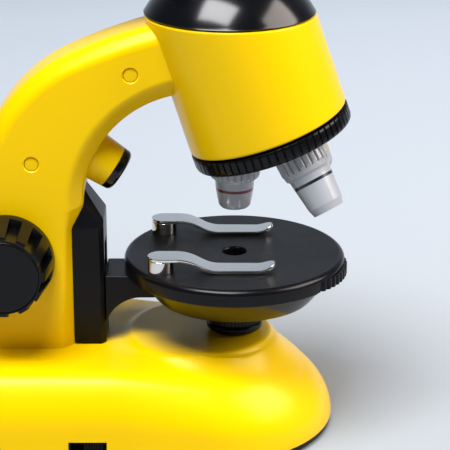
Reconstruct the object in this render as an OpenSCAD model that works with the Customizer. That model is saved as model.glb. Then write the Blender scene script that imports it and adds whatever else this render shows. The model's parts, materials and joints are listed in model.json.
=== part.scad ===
/* [Base] */
// Half width of the base and radius of its round ends
base_r = 40.5; // [40:0.5:42]
// Middle of the round front end, from the optical axis
base_front_x = -8.8; // [-9:0.1:-8]
// Back edge of the base, from the optical axis
base_back_x = -94; // [-96:0.5:-93]
// Height of the ridge of the base above the desk
base_h = 29; // [29:0.5:30]
// Height of the flat top of the lamp boss
boss_z = 31; // [31:0.2:31.4]
// Radius of the lamp boss
boss_r = 20.8; // [19:0.2:22]

/* [Arm] */
// Width of the arm across both halves
arm_w = 25; // [24.8:0.1:25.4]
// Size of the bevel on the arm's edges
arm_bevel = 4.1; // [2:0.1:4.5]
// Front face of the column, from the optical axis
column_front_x = -50.6; // [-50.8:0.1:-50.4]
// Back face of the column, from the optical axis
column_back_x = -80.2; // [-80.4:0.1:-80]

/* [Stage] */
// Radius of the stage
stage_r = 35; // [34.6:0.1:35.4]
// Height of the stage surface above the desk at rest
stage_z = 57.5; // [57.3:0.1:57.8]
// Radius of the light hole in the stage
light_hole_r = 3.6; // [3:0.1:4.5]

/* [Head] */
// Height of the seam between the drum and the dome
seam_z = 135; // [134.6:0.1:135.4]
// Radius of the drum at the seam
seam_r = 26.3; // [26:0.1:26.6]
// Vertical turning axis of the dome, from the optical axis
head_x = -1.6; // [-2:0.1:-1.4]
// Radius of the drum's tilted lower face
drum_r = 25.4; // [25.2:0.1:25.5]
// Tilt of the turret's axis from the vertical
tilt = 19.5; // [19.3:0.1:19.7]
// Length of the inclined tube, from the mirror
tube_end = 58; // [54:1:62]

/* [Focus] */
// Focus shaft height above the desk
shaft_z = 59.5; // [59:0.1:60]
// Focus shaft, from the optical axis
shaft_x = -70.9; // [-71.2:0.1:-70.6]
// Radius of the focus knobs at the back
knob_r = 15; // [13.5:0.1:15.5]

/* [Hidden] */
$fn = 64;

// Base and battery well
wall = 2.2;
skirt_z = 2.6;
cover_z = 1;
cover_r = base_r - 0.3;
corner_r = 20.5;
shoulder_y = 28.5;
shoulder_r = 7;
side_r = 24;
shoulder_turn = 41;
side_turn = 5;
taper_x = -38;
front_steps = 12;
foot_r = 5;
foot_spots = [[14, 22], [14, -22], [-74, 24], [-74, -24]];
boss_round = 1.6;
cell_r = 7.2;
cell_len = 50;
cell_z = 10.8;
cell_pitch = 15.6;
well_x = [-50, 6];
well_y = 17;
well_z = 19;
door_x = [-46, 2];
door_y = 14.6;
cover_screw_spots = [[22, 0], [-20, 31], [-20, -31], [-86, 0]];
socket_z = 21.2;
foot_screw_x = -62;
foot_screw_y = 6;
wire_r = 0.6;
wire_up_x = -74.5;
wire_up_y = -7;

// Arm: two tangent arcs outside and one arc inside
half_w = arm_w / 2;
back_arc = [-30.3, 78.2];
back_arc_r = 49.9;
top_arc_r = 159.6;
arc_turn = 25;
top_arc = back_arc + (top_arc_r - back_arc_r) * [sin(arc_turn), -cos(arc_turn)];
inner_arc = [-11.4, 76.1];
inner_arc_r = 35.5;
inner_bevel = 5;
arm_end_x = -12;
plug_spots = [[-31.5, 118.4], [-62.3, 90.3]];
plug_r = 2.2;
arm_screw_r = 1.3;

// Lamps
lamp_tip = [-35.6, 0, 84];
lamp_dip = 34;
lamp_tube_r = 7;
lamp_back_r = 8.1;
lamp_len = 17.5;
led_depth = 11.5;
bezel_len = 3;
lamp_r = 9;
lamp_top_z = 38.6;
led_r = 2.5;

// Rail and stage travel
rail_front_x = -41;
rail_half = 9;
rail_z = 29.6;
rail_top_z = 79.3;
hip_z = 70.6;
arm_front = [[column_front_x, 67.9], [-47.9, 73.5], [-46.9, 76.1]];
rail_wall = 1.8;
travel_up = 9;
travel_down = 6;
rim_z = 51.9;
skirt_r = 30;
web_z = stage_z - 1.6;
bracket_back_x = -40.7;
bracket_half = 8.1;
neck_half = 4;
neck_z = [43, rim_z];
gusset = [-29.3, 32.6];
gusset_r = 12;
carriage_x = [-50.2, -43.4];
gap = 0.3;

// Rack and pinion
tooth_module = 0.75;
pinion_teeth = 16;
pinion_r = tooth_module * pinion_teeth / 2;
tooth_pitch = PI * tooth_module;
pressure = 20;
backlash = 0.12;
pitch_line_x = shaft_x + pinion_r;
rack_back_x = -61.5;
rack_below = 6;
rack_above = 5;
rack_half = 2.5;
shaft_r = 2;
running = 0.05;
shaft_end = 25;
knob_y = [half_w + 0.5, 28.5];
knob_front_r = 13.1;
cap_r = 11.4;
grooves = 12;

// Filter wheel under the stage
wheel_offset = 12.9;
wheel_bearing = -18;
wheel_r = 23.3;
wheel_z = [52.2, 55.6];
aperture_r = 4;
apertures = 6;

// Clips
clip_x = -22.8;
clip_y = 17.5;
clip_pin_r = 1.9;
post_r = 4.1;
post_top_z = 61.6;
strap_t = 1;

// Turret and objectives, along their axes from the point where the axes meet
drum_x = 10.27;
drum_z = 99.17;
apex_z = drum_z + drum_x / tan(tilt);
drum_s = drum_x / sin(tilt);
ring_r = 25.5;
ring_s = drum_s + 0.8;
ring_h = 4.9;
ring_round = 0.9;
seat_s = 37.85;
stub_r = 5.5;
stub_s = 35.45;
pivot_r = 2.5;
hub_r = 6;
hub_s = 39.05;
plate_s = [27.75, 30.25];
objective_bore_r = 3.4;

// Dome, tube and eyepiece
dome_r = 29.9;
dome_wall = 2.2;
dome_base_z = seam_z + gap;
dome_mid_z = dome_base_z - sqrt(dome_r * dome_r - seam_r * seam_r);
spigot_r = 20;
spigot_in_r = 17.8;
lip_r = 20.9;
lip_z = [129.5, 130.8];
bearing_z = [131, 134.9];
flange_z = 129.4;
mirror_z = 141;
mirror_turn = -112.5;
tube_r = 14.5;
tube_start = -8;
eyepiece_r = 11.6;
eyepiece_head_r = 14.8;
eyepiece_bore_r = 9.6;
eyepiece_start = 26;
eyepiece_top = tube_end + 14;
eyecup_r = 14.6;
eyecup_h = 7;

// Switch
switch_x = [-50.5, -39.2];
switch_z = [4.4, 10.2];
slider_x = [-46.5, -40.2];
switch_floor_y = -34.4;

// The optical axis stands this far in front of the middle of the whole outline
ring_front_x = (ring_s + ring_h - ring_round) * sin(tilt) + ring_r * cos(tilt);
axis_x = -(base_back_x + ring_front_x) / 2;

module from_axis() {
    translate([axis_x, 0, 0]) children();
}

module block(x, y, z) {
    translate([x[0], y[0], z[0]]) cube([x[1] - x[0], y[1] - y[0], z[1] - z[0]]);
}

module rod(x, y, z, r) {
    translate([x, y, z[0]]) cylinder(h = z[1] - z[0], r = r);
}

// A cylinder along Y at x, z
module rod_y(x, z, y, r) {
    translate([x, y[0], z]) rotate([-90, 0, 0]) cylinder(h = y[1] - y[0], r = r);
}

// A side outline, drawn in X and Z, made solid from -half to half
module side_plate(half) {
    rotate([90, 0, 0]) translate([0, 0, -half]) linear_extrude(2 * half) children();
}

module screw(r, length, head_r, head_h) {
    cylinder(h = length, r = r);
    translate([0, 0, -head_h]) cylinder(h = head_h, r = head_r);
}

// ---- Base ----

function arc_point(middle, r, turn) = middle + r * [cos(turn), sin(turn)];

// Half of the base's cross-section: a steep side, a wide bend and a tight bend into the flat top.
// Its points are [distance from the middle plane, height].
function base_section(inset) =
    let (
        shoulder = [shoulder_y, base_h - shoulder_r],
        side = arc_point(arc_point(shoulder, shoulder_r, shoulder_turn), -side_r, shoulder_turn),
        start = arc_point(side, side_r - inset, side_turn)
    )
    concat(
        [[start[0] + (start[1] - skirt_z) * tan(side_turn), skirt_z]],
        [for (turn = [side_turn : 6 : shoulder_turn]) arc_point(side, side_r - inset, turn)],
        [for (i = [1 : 5])
            arc_point(shoulder, shoulder_r - inset, shoulder_turn + i * (90 - shoulder_turn) / 5)]
    );

module side_section(x, half) {
    translate([x[0], 0, 0]) rotate([90, 0, 90]) linear_extrude(x[1] - x[0]) polygon(concat(
        half, [for (i = [len(half) - 1 : -1 : 0]) [-half[i][0], half[i][1]]]
    ));
}

module base_solid(inset) {
    half = base_section(inset);
    corner_y = base_r - corner_r;
    hull() {
        side_section([taper_x - 1, taper_x], half);
        for (side = [-1, 1]) translate([base_back_x + corner_r, side * corner_y, 0]) rotate_extrude($fn = 48)
            polygon(concat(
                [[0, skirt_z]], [for (point = half) [point[0] - corner_y, point[1]]], [[0, base_h - inset]]
            ));
        translate([base_front_x, 0, 0]) rotate_extrude() polygon(concat([[0, skirt_z]], [
            for (i = [0 : front_steps])
                let (turn = 90 * i / front_steps)
                    [(base_r - inset) * cos(turn), skirt_z + (base_h - skirt_z - inset) * sin(turn)]
        ]));
    }
}

module boss(inset) {
    r = boss_r - inset;
    z = boss_z - inset;
    translate([base_front_x, 0, 0]) rotate_extrude() polygon(concat(
        [[0, 12], [r, 12]],
        [for (i = [0 : 6]) [r - boss_round * (1 - cos(15 * i)), z - boss_round * (1 - sin(15 * i))]],
        [[0, z]]
    ));
}

// The column between two heights, with its four upright edges bevelled
module column(inset, z) {
    x = [column_back_x + inset, column_front_x - inset];
    y = half_w - inset;
    b = arm_bevel;
    translate([0, 0, z[0]]) linear_extrude(z[1] - z[0]) polygon([
        [x[0], b - y], [x[0] + b, -y], [x[1] - b, -y], [x[1], b - y],
        [x[1], y - b], [x[1] - b, y], [x[0] + b, y], [x[0], y - b]
    ]);
}

module switch_block(y) {
    block([switch_x[0] - 2, switch_x[1] + 2], y, [skirt_z, switch_z[1] + 1.4]);
}

module base_shell() {
    color("gold") difference() {
        union() {
            difference() {
                union() {
                    base_solid(0);
                    boss(0);
                }
                base_solid(wall);
                boss(wall);
            }
            intersection() {
                base_solid(0);
                union() {
                    column(-wall, [socket_z - 2, base_h]);
                    for (spot = cover_screw_spots) rod(spot[0], spot[1], [skirt_z, base_h], 3.4);
                }
            }
        }
        column(0, [socket_z, base_h + 10]);
        for (side = [-1, 1]) rod(foot_screw_x, side * foot_screw_y, [10, 30], arm_screw_r);
        for (spot = cover_screw_spots) rod(spot[0], spot[1], [0, 10], arm_screw_r);
        rod(0, 0, [20, boss_z + 1], 1.4);
        rod(wire_up_x, wire_up_y, [10, 30], 1.2);
        switch_block([-base_r - 1, -30]);
    }
}

module base_outline(r) {
    corner = corner_r - base_r + r;
    corner_x = base_back_x + corner_r;
    translate([base_front_x, 0]) circle(r = r);
    translate([corner_x, -r]) square([base_front_x - corner_x, 2 * r]);
    for (side = [-1, 1]) translate([corner_x, side * (r - corner)]) circle(r = corner);
    translate([corner_x - corner, corner - r]) square([corner, 2 * (r - corner)]);
}

module base_cover() {
    color("black") difference() {
        union() {
            translate([0, 0, cover_z]) linear_extrude(skirt_z - cover_z) base_outline(cover_r);
            block(well_x, [-well_y, well_y], [cover_z + 1, well_z]);
        }
        block(well_x + [1.2, -1.2], [1.2 - well_y, well_y - 1.2], [skirt_z, well_z - 1]);
        block(door_x, [-door_y, door_y], [0, skirt_z + 1]);
        for (spot = cover_screw_spots) rod(spot[0], spot[1], [0, 5], arm_screw_r);
        for (spot = cover_screw_spots) rod(spot[0], spot[1], [0, 1.8], 2.7);
    }
}

module rubber_feet() {
    color("dimgray") for (spot = foot_spots) rod(spot[0], spot[1], [0, cover_z], foot_r);
}

module battery_door() {
    screw_x = door_x[1] - 4;
    color("black") difference() {
        block(door_x + [0.2, -0.2], [0.2 - door_y, door_y - 0.2], [cover_z + 0.1, skirt_z]);
        rod(screw_x, 0, [0, 4], 1.1);
        rod(screw_x, 0, [0, 1.9], 2.2);
    }
}

module battery_door_screw() {
    color("silver") translate([door_x[1] - 4, 0, 1.9]) screw(1.1, 1.5, 2, 0.7);
}

module cell() {
    rotate([0, 90, 0]) {
        cylinder(h = cell_len - 1.5, r = cell_r);
        translate([0, 0, cell_len - 1.5]) cylinder(h = 1.5, r = 2.7);
    }
}

module batteries() {
    color("darkgreen") {
        translate([-46.8, cell_pitch / 2, cell_z]) cell();
        translate([3, -cell_pitch / 2, cell_z]) mirror([1, 0, 0]) cell();
    }
}

module contact_plate(x, y) {
    block([x, x + 0.5], [y - 6, y + 6], [cell_z - 6, cell_z + 6]);
}

module battery_contacts() {
    ends = [well_x[0] + 1.2, well_x[1] - 1.7];
    color("silver") {
        for (x = ends, side = [-1, 1]) contact_plate(x, side * cell_pitch / 2);
        translate([ends[0] + 0.5, cell_pitch / 2, cell_z]) rotate([0, 90, 0]) cylinder(h = 1.5, r1 = 4, r2 = 2.6);
        translate([ends[1], -cell_pitch / 2, cell_z]) rotate([0, -90, 0]) cylinder(h = 1.3, r1 = 4, r2 = 2.6);
    }
}

module base_screws() {
    color("silver") for (spot = cover_screw_spots) translate([spot[0], spot[1], 1.8]) screw(arm_screw_r, 7, 2.5, 0.7);
}

module arm_foot_screws() {
    color("silver") for (side = [-1, 1])
        translate([foot_screw_x, side * foot_screw_y, socket_z - 2]) screw(arm_screw_r, 5, 2.4, 0.9);
}

module switch_housing() {
    color("black") difference() {
        intersection() {
            side_section([-60, -30], base_section(0));
            switch_block([-base_r, -31.8]);
        }
        block(switch_x, [-base_r - 1, switch_floor_y], switch_z);
    }
}

module switch_slider() {
    color("dimgray") block(slider_x, [-39.2, switch_floor_y - 0.1], switch_z + [gap, -gap]);
}

module circuit_board() {
    color("darkgreen") block([-56, -34], [-31.8, -30.2], [3, 14]);
}

// ---- Lamps and wiring ----

module lamp_housing() {
    color("black") translate([0, 0, boss_z]) rotate_extrude() polygon([
        [3.2, 0], [lamp_r - 1.6, 0], [lamp_r - 0.5, 0.5], [lamp_r, 1.4], [lamp_r, 2.6], [8.3, 3.2],
        [8.3, 6.8], [7.5, 7.6], [6.2, 7.6], [6.2, 3], [3.2, 3]
    ]);
}

module led() {
    cylinder(h = 1, r = 2.9);
    cylinder(h = 3, r = led_r);
    translate([0, 0, 3]) sphere(r = led_r);
}

// Local Z runs along the upper lamp's beam and starts at its front
module in_upper_lamp() {
    translate(lamp_tip) rotate([0, 90 + lamp_dip, 0]) children();
}

module lamp_leds() {
    color("white") {
        translate([0, 0, boss_z]) led();
        in_upper_lamp() translate([0, 0, -led_depth]) led();
    }
}

module lens(r, edge) {
    cylinder(h = edge, r = r);
    translate([0, 0, edge]) cylinder(h = 0.4, r1 = r - 0.4, r2 = r * 0.6);
}

module lamp_lenses() {
    color("lightblue") {
        translate([0, 0, lamp_top_z - 1.7]) lens(6.2, 1.2);
        in_upper_lamp() translate([0, 0, -1.5]) lens(4.6, 0.8);
    }
}

module upper_lamp_cone(grow) {
    translate([0, 0, -lamp_len])
        cylinder(h = lamp_len - bezel_len, r1 = lamp_back_r + grow, r2 = lamp_tube_r + grow);
}

module upper_lamp_housing() {
    color("gold") in_upper_lamp() difference() {
        upper_lamp_cone(0);
        translate([0, 0, -led_depth]) cylinder(h = led_depth, r = lamp_tube_r - 1.5);
        translate([0, 0, -lamp_len - 1]) cylinder(h = lamp_len - led_depth - 0.5, r = lamp_tube_r - 1.5);
        translate([0, 0, -led_depth - 2]) cylinder(h = 3, r = 1.2);
    }
}

module upper_lamp_bezel() {
    color("black") in_upper_lamp() rotate_extrude() polygon([
        [4.6, -bezel_len], [lamp_tube_r, -bezel_len], [lamp_tube_r, -0.8], [lamp_tube_r - 0.8, 0], [4.6, 0]
    ]);
}

module wire(p, q) {
    d = q - p;
    translate(p) rotate([0, acos(d[2] / norm(d)), atan2(d[1], d[0])]) cylinder(h = norm(d), r = wire_r, $fn = 8);
}

module wire_run(points) {
    for (i = [0 : len(points) - 2]) wire(points[i], points[i + 1]);
    for (point = points) translate(point) sphere(r = wire_r, $fn = 8);
}

module wiring() {
    color("red") {
        wire_run([
            [-53, -29.4, 12], [-53, -20, 17], [-68, -16, 17], [wire_up_x, wire_up_y, 18],
            [wire_up_x, wire_up_y, 80], [-64, -4, 103], [-50, 0, 93.4], [-46.1, 0, 90.9]
        ]);
        wire_run([[-38, -29.4, 12], [-20, -20, 21], [0, -8, 22], [0, 0, 25], [0, 0, boss_z - wire_r]]);
    }
}

// ---- Arm ----

// A disc across the arm whose rim is bevelled on both faces
module arm_disc(middle, r, half, bevel) {
    translate([middle[0], 0, middle[1]]) rotate([90, 0, 0]) rotate_extrude() polygon([
        [0, -half], [r - bevel, -half], [r, bevel - half], [r, half - bevel], [r - bevel, half], [0, half]
    ]);
}

module arm_hollow(r, half, bevel) {
    over = 1;
    flare = bevel * (1 + over / arm_bevel);
    translate([inner_arc[0], 0, inner_arc[1]]) rotate([90, 0, 0]) rotate_extrude() polygon([
        [0, -half - over], [r + flare, -half - over], [r, arm_bevel - half], [r, half - arm_bevel],
        [r + flare, half + over], [0, half + over]
    ]);
}

// The whole arm as a solid, shrunk by inset
module arm_solid(inset) {
    half = half_w - inset;
    difference() {
        union() {
            intersection() {
                arm_disc(back_arc, back_arc_r - inset, half, arm_bevel);
                translate([back_arc[0], 0, back_arc[1]]) rotate([0, -arc_turn, 0]) block([-60, 0], [-20, 20], [0, 60]);
            }
            intersection() {
                arm_disc(top_arc, top_arc_r - inset, half, arm_bevel);
                translate([back_arc[0], 0, back_arc[1]]) rotate([0, -arc_turn, 0]) block([0, 50], [-20, 20], [20, 60]);
            }
            intersection() {
                arm_disc(back_arc, back_arc_r - inset, half, arm_bevel);
                block([-90, column_front_x + 8], [-20, 20], [back_arc[1] - 0.01, 110]);
            }
            column(inset, [socket_z + inset, back_arc[1]]);
        }
        arm_hollow(inner_arc_r + inset, half, inner_bevel);
        translate([-inset, 0, 0]) side_plate(20) polygon(concat(
            [[column_front_x, 60]], arm_front, [[-36, 76.1], [-36, 60]]
        ));
        block([arm_end_x + (inset > 0 ? 20 : 0), 40], [-20, 20], [60, 160]);
    }
}

module arm_half(side) {
    color("gold") difference() {
        union() {
            difference() {
                arm_solid(0);
                arm_solid(wall);
            }
            intersection() {
                arm_solid(0);
                for (spot = plug_spots) rod_y(spot[0], spot[1], [-half_w, half_w], 3.6);
            }
        }
        block([-100, 0], side > 0 ? [-20, 0] : [0, 20], [0, 160]);
        drum(0, 0);
        for (spot = plug_spots) {
            rod_y(spot[0], spot[1], [-20, 7], arm_screw_r);
            rod_y(spot[0], spot[1], [-20, -9], plug_r);
        }
        for (y = [-1, 1]) rod(foot_screw_x, y * foot_screw_y, [10, 30], arm_screw_r);
        rod(wire_up_x, wire_up_y, [10, 30], 1.2);
        rod_y(shaft_x, shaft_z, [-20, 20], 4);
        block([-56, -40], [-rack_half - 0.8, rack_half + 0.8], [42, 68]);
        in_upper_lamp() upper_lamp_cone(0);
    }
}

module arm_shell_right() {
    arm_half(-1);
}

module arm_shell_left() {
    arm_half(1);
}

module arm_screws() {
    color("silver") for (spot = plug_spots)
        translate([spot[0], -9, spot[1]]) rotate([-90, 0, 0]) screw(arm_screw_r, 15.5, 2.1, 1.5);
}

module arm_screw_plugs() {
    color("gold") for (spot = plug_spots) rod_y(spot[0], spot[1], [0.1 - half_w, 1.4 - half_w], plug_r - 0.1);
}

module rail_outline(half, chamfer) {
    polygon([
        [column_front_x, -half], [rail_front_x - chamfer, -half], [rail_front_x, chamfer - half],
        [rail_front_x, half - chamfer], [rail_front_x - chamfer, half], [column_front_x, half]
    ]);
}

module rail_housing() {
    inner = rail_half - rail_wall;
    color("black") difference() {
        intersection() {
            translate([0, 0, rail_z]) linear_extrude(rail_top_z - rail_z) rail_outline(rail_half, 1.6);
            side_plate(rail_half) polygon([
                [column_front_x, rail_z], [rail_front_x, rail_z], [rail_front_x, hip_z], [-46.4, rail_top_z],
                [-46.6, rail_top_z], arm_front[2], arm_front[1], arm_front[0]
            ]);
        }
        block([column_front_x - 1, rail_front_x - rail_wall], [-inner, inner], [rail_z - 1, 69]);
        block([rail_front_x - 3, rail_front_x + 1], [-neck_half - 0.4, neck_half + 0.4],
            [neck_z[0] - travel_down - 0.5, neck_z[1] + travel_up + 0.5]);
        in_upper_lamp() upper_lamp_cone(0.2);
    }
}

module focus_bushes() {
    color("darkgoldenrod") for (side = [-1, 1]) difference() {
        rod_y(shaft_x, shaft_z, side > 0 ? [9, half_w] : [-half_w, -9], 4);
        rod_y(shaft_x, shaft_z, [-20, 20], shaft_r + running);
    }
}

// ---- Head ----

// Local Z runs down the turret's axis from the point where all objective axes meet
module on_turret_axis() {
    translate([0, 0, apex_z]) rotate([0, 180 - tilt, 0]) children();
}

module on_objective_axis(k) {
    on_turret_axis() rotate([0, 0, 120 * k]) rotate([0, tilt, 0]) children();
}

// The drum between its level top and its tilted lower face
module drum(inset, over) {
    slice = 0.01;
    hull() {
        translate([head_x, 0, seam_z + over - slice]) cylinder(h = slice, r = seam_r - inset, $fn = 96);
        on_turret_axis() translate([0, 0, drum_s + over - slice]) cylinder(h = slice, r = drum_r - inset, $fn = 96);
    }
}

module head_shell() {
    color("gold") difference() {
        drum(0, 0);
        difference() {
            drum(wall, 1);
            block([-40, 40], [-30, 30], [flange_z, bearing_z[0]]);
            on_turret_axis() rod(0, 0, [plate_s[0] - 1.5, plate_s[0]], 60);
        }
        rod(head_x, 0, [flange_z - 1, bearing_z[0] + 1], lip_r + 0.4);
        on_turret_axis() rod(0, 0, [plate_s[0] - 2, plate_s[0] + 1], 20);
    }
}

module head_base_plate() {
    color("dimgray") on_turret_axis() difference() {
        rod(0, 0, plate_s, 22.4);
        rod(0, 0, [20, 40], 1.6);
        rod(30 * tan(tilt), 0, [20, 40], 5.5);
    }
}

module head_bearing_ring() {
    color("white") difference() {
        rod(head_x, 0, bearing_z, 22.6);
        rod(head_x, 0, bearing_z + [-1, 1], spigot_r + running);
    }
}

module turret_pivot() {
    color("silver") on_turret_axis() {
        rod(0, 0, [plate_s[0], plate_s[1]], 1.6);
        rod(0, 0, [plate_s[1], hub_s + 0.1], pivot_r);
        rod(0, 0, [hub_s + 0.1, hub_s + 1.7], 4.5);
    }
}

module turret_detent_spring() {
    color("silver") on_turret_axis() {
        block([-16, -6], [-2, 2], [plate_s[1], plate_s[1] + 0.4]);
        rod(-9, 0, [plate_s[1] + 0.4, plate_s[1] + 1], 1.2);
    }
}

// ---- Stage ----

module stage_plate() {
    fillet = 1.8;
    color("black") difference() {
        rotate_extrude() polygon(concat(
            [[light_hole_r, web_z], [skirt_r, web_z], [skirt_r, rim_z], [stage_r - 0.4, rim_z], [stage_r, rim_z + 1]],
            [for (i = [0 : 6]) [stage_r - fillet * (1 - cos(15 * i)), stage_z - fillet * (1 - sin(15 * i))]],
            [[light_hole_r, stage_z]]
        ));
        on_wheel() rod(0, 0, [rim_z - 1, web_z], wheel_r + 0.4);
        on_wheel() rod(0, 0, [web_z - 1, web_z + 1.1], 2);
        for (side = [-1, 1]) {
            rod(clip_x, side * clip_y, [50, 60], clip_pin_r + running);
            rod(-31.6, side * 5.5, [rim_z - 1, rim_z + 3.5], arm_screw_r);
        }
    }
}

function dish_points(inset) = [
    for (i = [0 : 10])
        let (turn = 9 * i)
            [24.5 - inset + 6 * cos(turn), 43.5 + inset + (rim_z - 43.5 - inset) * (1 - sin(turn))]
];

module dish_solid(inset, over) {
    rotate_extrude() polygon(concat(
        [[0, rim_z + over], [30.5 - inset, rim_z + over]], dish_points(inset), [[0, 43.5 + inset]]
    ));
}

module stage_dish() {
    color("black") difference() {
        dish_solid(0, 0);
        dish_solid(2.2, 1);
        rod(0, 0, [40, 50], 12.8);
    }
}

module stage_bracket() {
    color("black") difference() {
        union() {
            side_plate(bracket_half) polygon(concat(
                [[bracket_back_x, rim_z], [-26, rim_z], [-26, gusset[1] + gusset_r]],
                [for (i = [1 : 7]) gusset + gusset_r * [cos(90 + 9 * i), sin(90 + 9 * i)]],
                [[bracket_back_x, 36.2]]
            ));
            block([carriage_x[1], bracket_back_x + 1], [-neck_half, neck_half], neck_z);
        }
        dish_solid(0, 1);
        block([-60, bracket_back_x], [-10, 10], [30, neck_z[0]]);
        for (side = [-1, 1]) {
            rod(-31.6, side * 5.5, [40, 60], arm_screw_r);
            rod(-31.6, side * 5.5, [40, 47], 2.3);
        }
        for (z = [44.9, 48.7]) translate([carriage_x[1] - 1, 0, z]) rotate([0, 90, 0]) cylinder(h = 8, r = 1);
    }
}

module stage_carriage() {
    color("dimgray") difference() {
        block(carriage_x, [-6.9, 6.9], [38, 57]);
        for (z = [44.9, 48.7]) translate([carriage_x[0] - 1, 0, z]) rotate([0, 90, 0]) {
            cylinder(h = 10, r = 1);
            cylinder(h = 2.2, r = 1.8);
        }
    }
}

module stage_screws() {
    color("silver") {
        for (side = [-1, 1]) translate([-31.6, side * 5.5, 47]) screw(arm_screw_r, 8, 2.2, 1.4);
        for (z = [44.9, 48.7]) translate([carriage_x[0] + 1.2, 0, z]) rotate([0, 90, 0]) screw(1, 12, 1.7, 1);
    }
}

module on_wheel() {
    translate([wheel_offset * cos(wheel_bearing), wheel_offset * sin(wheel_bearing), 0]) children();
}

module on_aperture(k) {
    on_wheel() rotate([0, 0, wheel_bearing + 180 + 360 * k / apertures]) translate([wheel_offset, 0, 0]) children();
}

module filter_wheel() {
    color("black") difference() {
        on_wheel() rod(0, 0, wheel_z, wheel_r);
        on_wheel() rod(0, 0, wheel_z + [-1, 1], 2 + running);
        for (k = [0 : apertures - 1]) on_aperture(k) rod(0, 0, wheel_z + [-1, 1], aperture_r);
    }
}

module filter_discs() {
    color("tomato") for (k = [1 : apertures - 1]) on_aperture(k) rod(0, 0, [53.4, 54.4], aperture_r);
}

module filter_wheel_pivot() {
    color("silver") on_wheel() {
        rod(0, 0, [50.4, 52], 3.4);
        rod(0, 0, [52, web_z + 1.1], 2);
    }
}

module clip_post(side) {
    color("silver") {
        rod(clip_x, side * clip_y, [53.4, stage_z], clip_pin_r);
        rod(clip_x, side * clip_y, [stage_z, post_top_z], post_r);
    }
}

module clip_strap(side) {
    low = stage_z + gap;
    high = post_top_z;
    t = strap_t;
    color("silver") intersection() {
        translate([0, side * clip_y, 0]) side_plate(5) polygon([
            [-27, high], [-15.4, high], [-13.6, high - 0.6], [-8.6, low + 0.4], [-7, low], [8.6, low],
            [10.6, low + 0.5], [12.8, low + 1.6], [12.6, low + 1.6 + t], [10.4, low + 0.5 + t], [8.4, low + t],
            [-7, low + t], [-8.4, low + 0.4 + t], [-13.4, high - 0.6 + t], [-15.4, high + t], [-27, high + t]
        ]);
        translate([0, side * clip_y, low - 1]) linear_extrude(10) {
            translate([clip_x, 0]) circle(r = post_r);
            polygon([[clip_x, -post_r], [9.4, -3.5], [9.4, 3.5], [clip_x, post_r]]);
            translate([9.4, 0]) circle(r = 3.5);
        }
    }
}

module clip_post_right() {
    clip_post(-1);
}

module clip_post_left() {
    clip_post(1);
}

module clip_strap_right() {
    clip_strap(-1);
}

module clip_strap_left() {
    clip_strap(1);
}

// ---- Turret ----

// Height along the turret's axis of the seat that faces the objectives, at radius r
function seat_at(r) = (seat_s - r * sin(tilt)) / cos(tilt);

module turret_ring() {
    rim_in = 23.2;
    color("black") difference() {
        on_turret_axis() rotate_extrude() polygon([
            [pivot_r + running, ring_s], [ring_r, ring_s], [ring_r, ring_s + ring_h - ring_round],
            [ring_r - ring_round, ring_s + ring_h], [rim_in, ring_s + ring_h], [rim_in, seat_at(rim_in)],
            [hub_r, seat_at(hub_r)], [hub_r, hub_s], [pivot_r + running, hub_s]
        ]);
        for (k = [-1 : 1]) on_objective_axis(k) rod(0, 0, [30, seat_s + 1], stub_r);
    }
}

// points: radius and distance of each step of the outside, from the seat to the tip
module objective(k, points) {
    tip_s = points[len(points) - 1][1];
    color("lightgray") on_objective_axis(k) difference() {
        rotate_extrude() polygon(concat([[0, stub_s], [stub_r, stub_s], [stub_r, seat_s]], points, [[0, tip_s]]));
        rod(0, 0, [stub_s - 1, tip_s + 1], objective_bore_r);
    }
}

low_points = [
    [7.9, seat_s], [7.9, 45.1], [7.2, 45.8], [6.15, 46.1], [6.1, 48.4], [5.85, 50.2], [5.6, 52], [4.95, 54.9], [4.4, 55.4]
];
mid_points = [[8, seat_s], [8, 45.7], [7.6, 47.6], [6.6, 48.2], [6.2, 52], [5.2, 57], [4.7, 57.5]];
high_points = [[8, seat_s], [8, 45.7], [7.6, 47.6], [6.75, 48.2], [6.3, 52.4], [5.4, 60.1], [4.8, 60.8]];

module objective_low() {
    objective(0, low_points);
}

module objective_mid() {
    objective(1, mid_points);
}

module objective_high() {
    objective(-1, high_points);
}

module objective_lenses() {
    tips = [60.8, 55.4, 57.5];
    color("lightblue") for (k = [-1 : 1])
        on_objective_axis(k) rod(0, 0, [tips[k + 1] - 2, tips[k + 1] - 0.5], objective_bore_r);
}

// ---- Dome and eyepiece ----

// Local Z runs up the inclined tube from the mirror
module on_tube() {
    translate([head_x, 0, mirror_z]) rotate([0, -45, 0]) children();
}

function cap_points(r, base_r) =
    let (start = acos(base_r / r))
        [for (i = [0 : 12]) let (turn = start + (90 - start) * i / 12) [r * cos(turn), dome_mid_z + r * sin(turn)]];

module dome_hollow() {
    translate([head_x, 0, 0]) rotate_extrude() polygon(concat(
        [[0, lip_z[0] - 1], [spigot_in_r, lip_z[0] - 1]], cap_points(dome_r - dome_wall, spigot_in_r)
    ));
}

module head_dome() {
    color("black") difference() {
        union() {
            translate([head_x, 0, 0]) rotate_extrude() polygon(concat(
                [[0, lip_z[0]], [lip_r, lip_z[0]], [lip_r, lip_z[1]], [spigot_r, lip_z[1]], [spigot_r, dome_base_z]],
                cap_points(dome_r, seam_r)
            ));
            on_tube() rod(0, 0, [tube_start, tube_end], tube_r);
        }
        dome_hollow();
        on_tube() rod(0, 0, [0, tube_end + 1], eyepiece_r + running);
    }
}

module at_mirror() {
    translate([head_x, 0, mirror_z]) rotate([0, mirror_turn, 0]) children();
}

module head_mirror() {
    color("lightblue") at_mirror() block([-6, 6], [-7, 7], [-1.5, 0]);
}

module mirror_holder() {
    color("dimgray") intersection() {
        at_mirror() block([-6, 6], [-7, 7], [-30, -1.5]);
        dome_hollow();
    }
}

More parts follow.
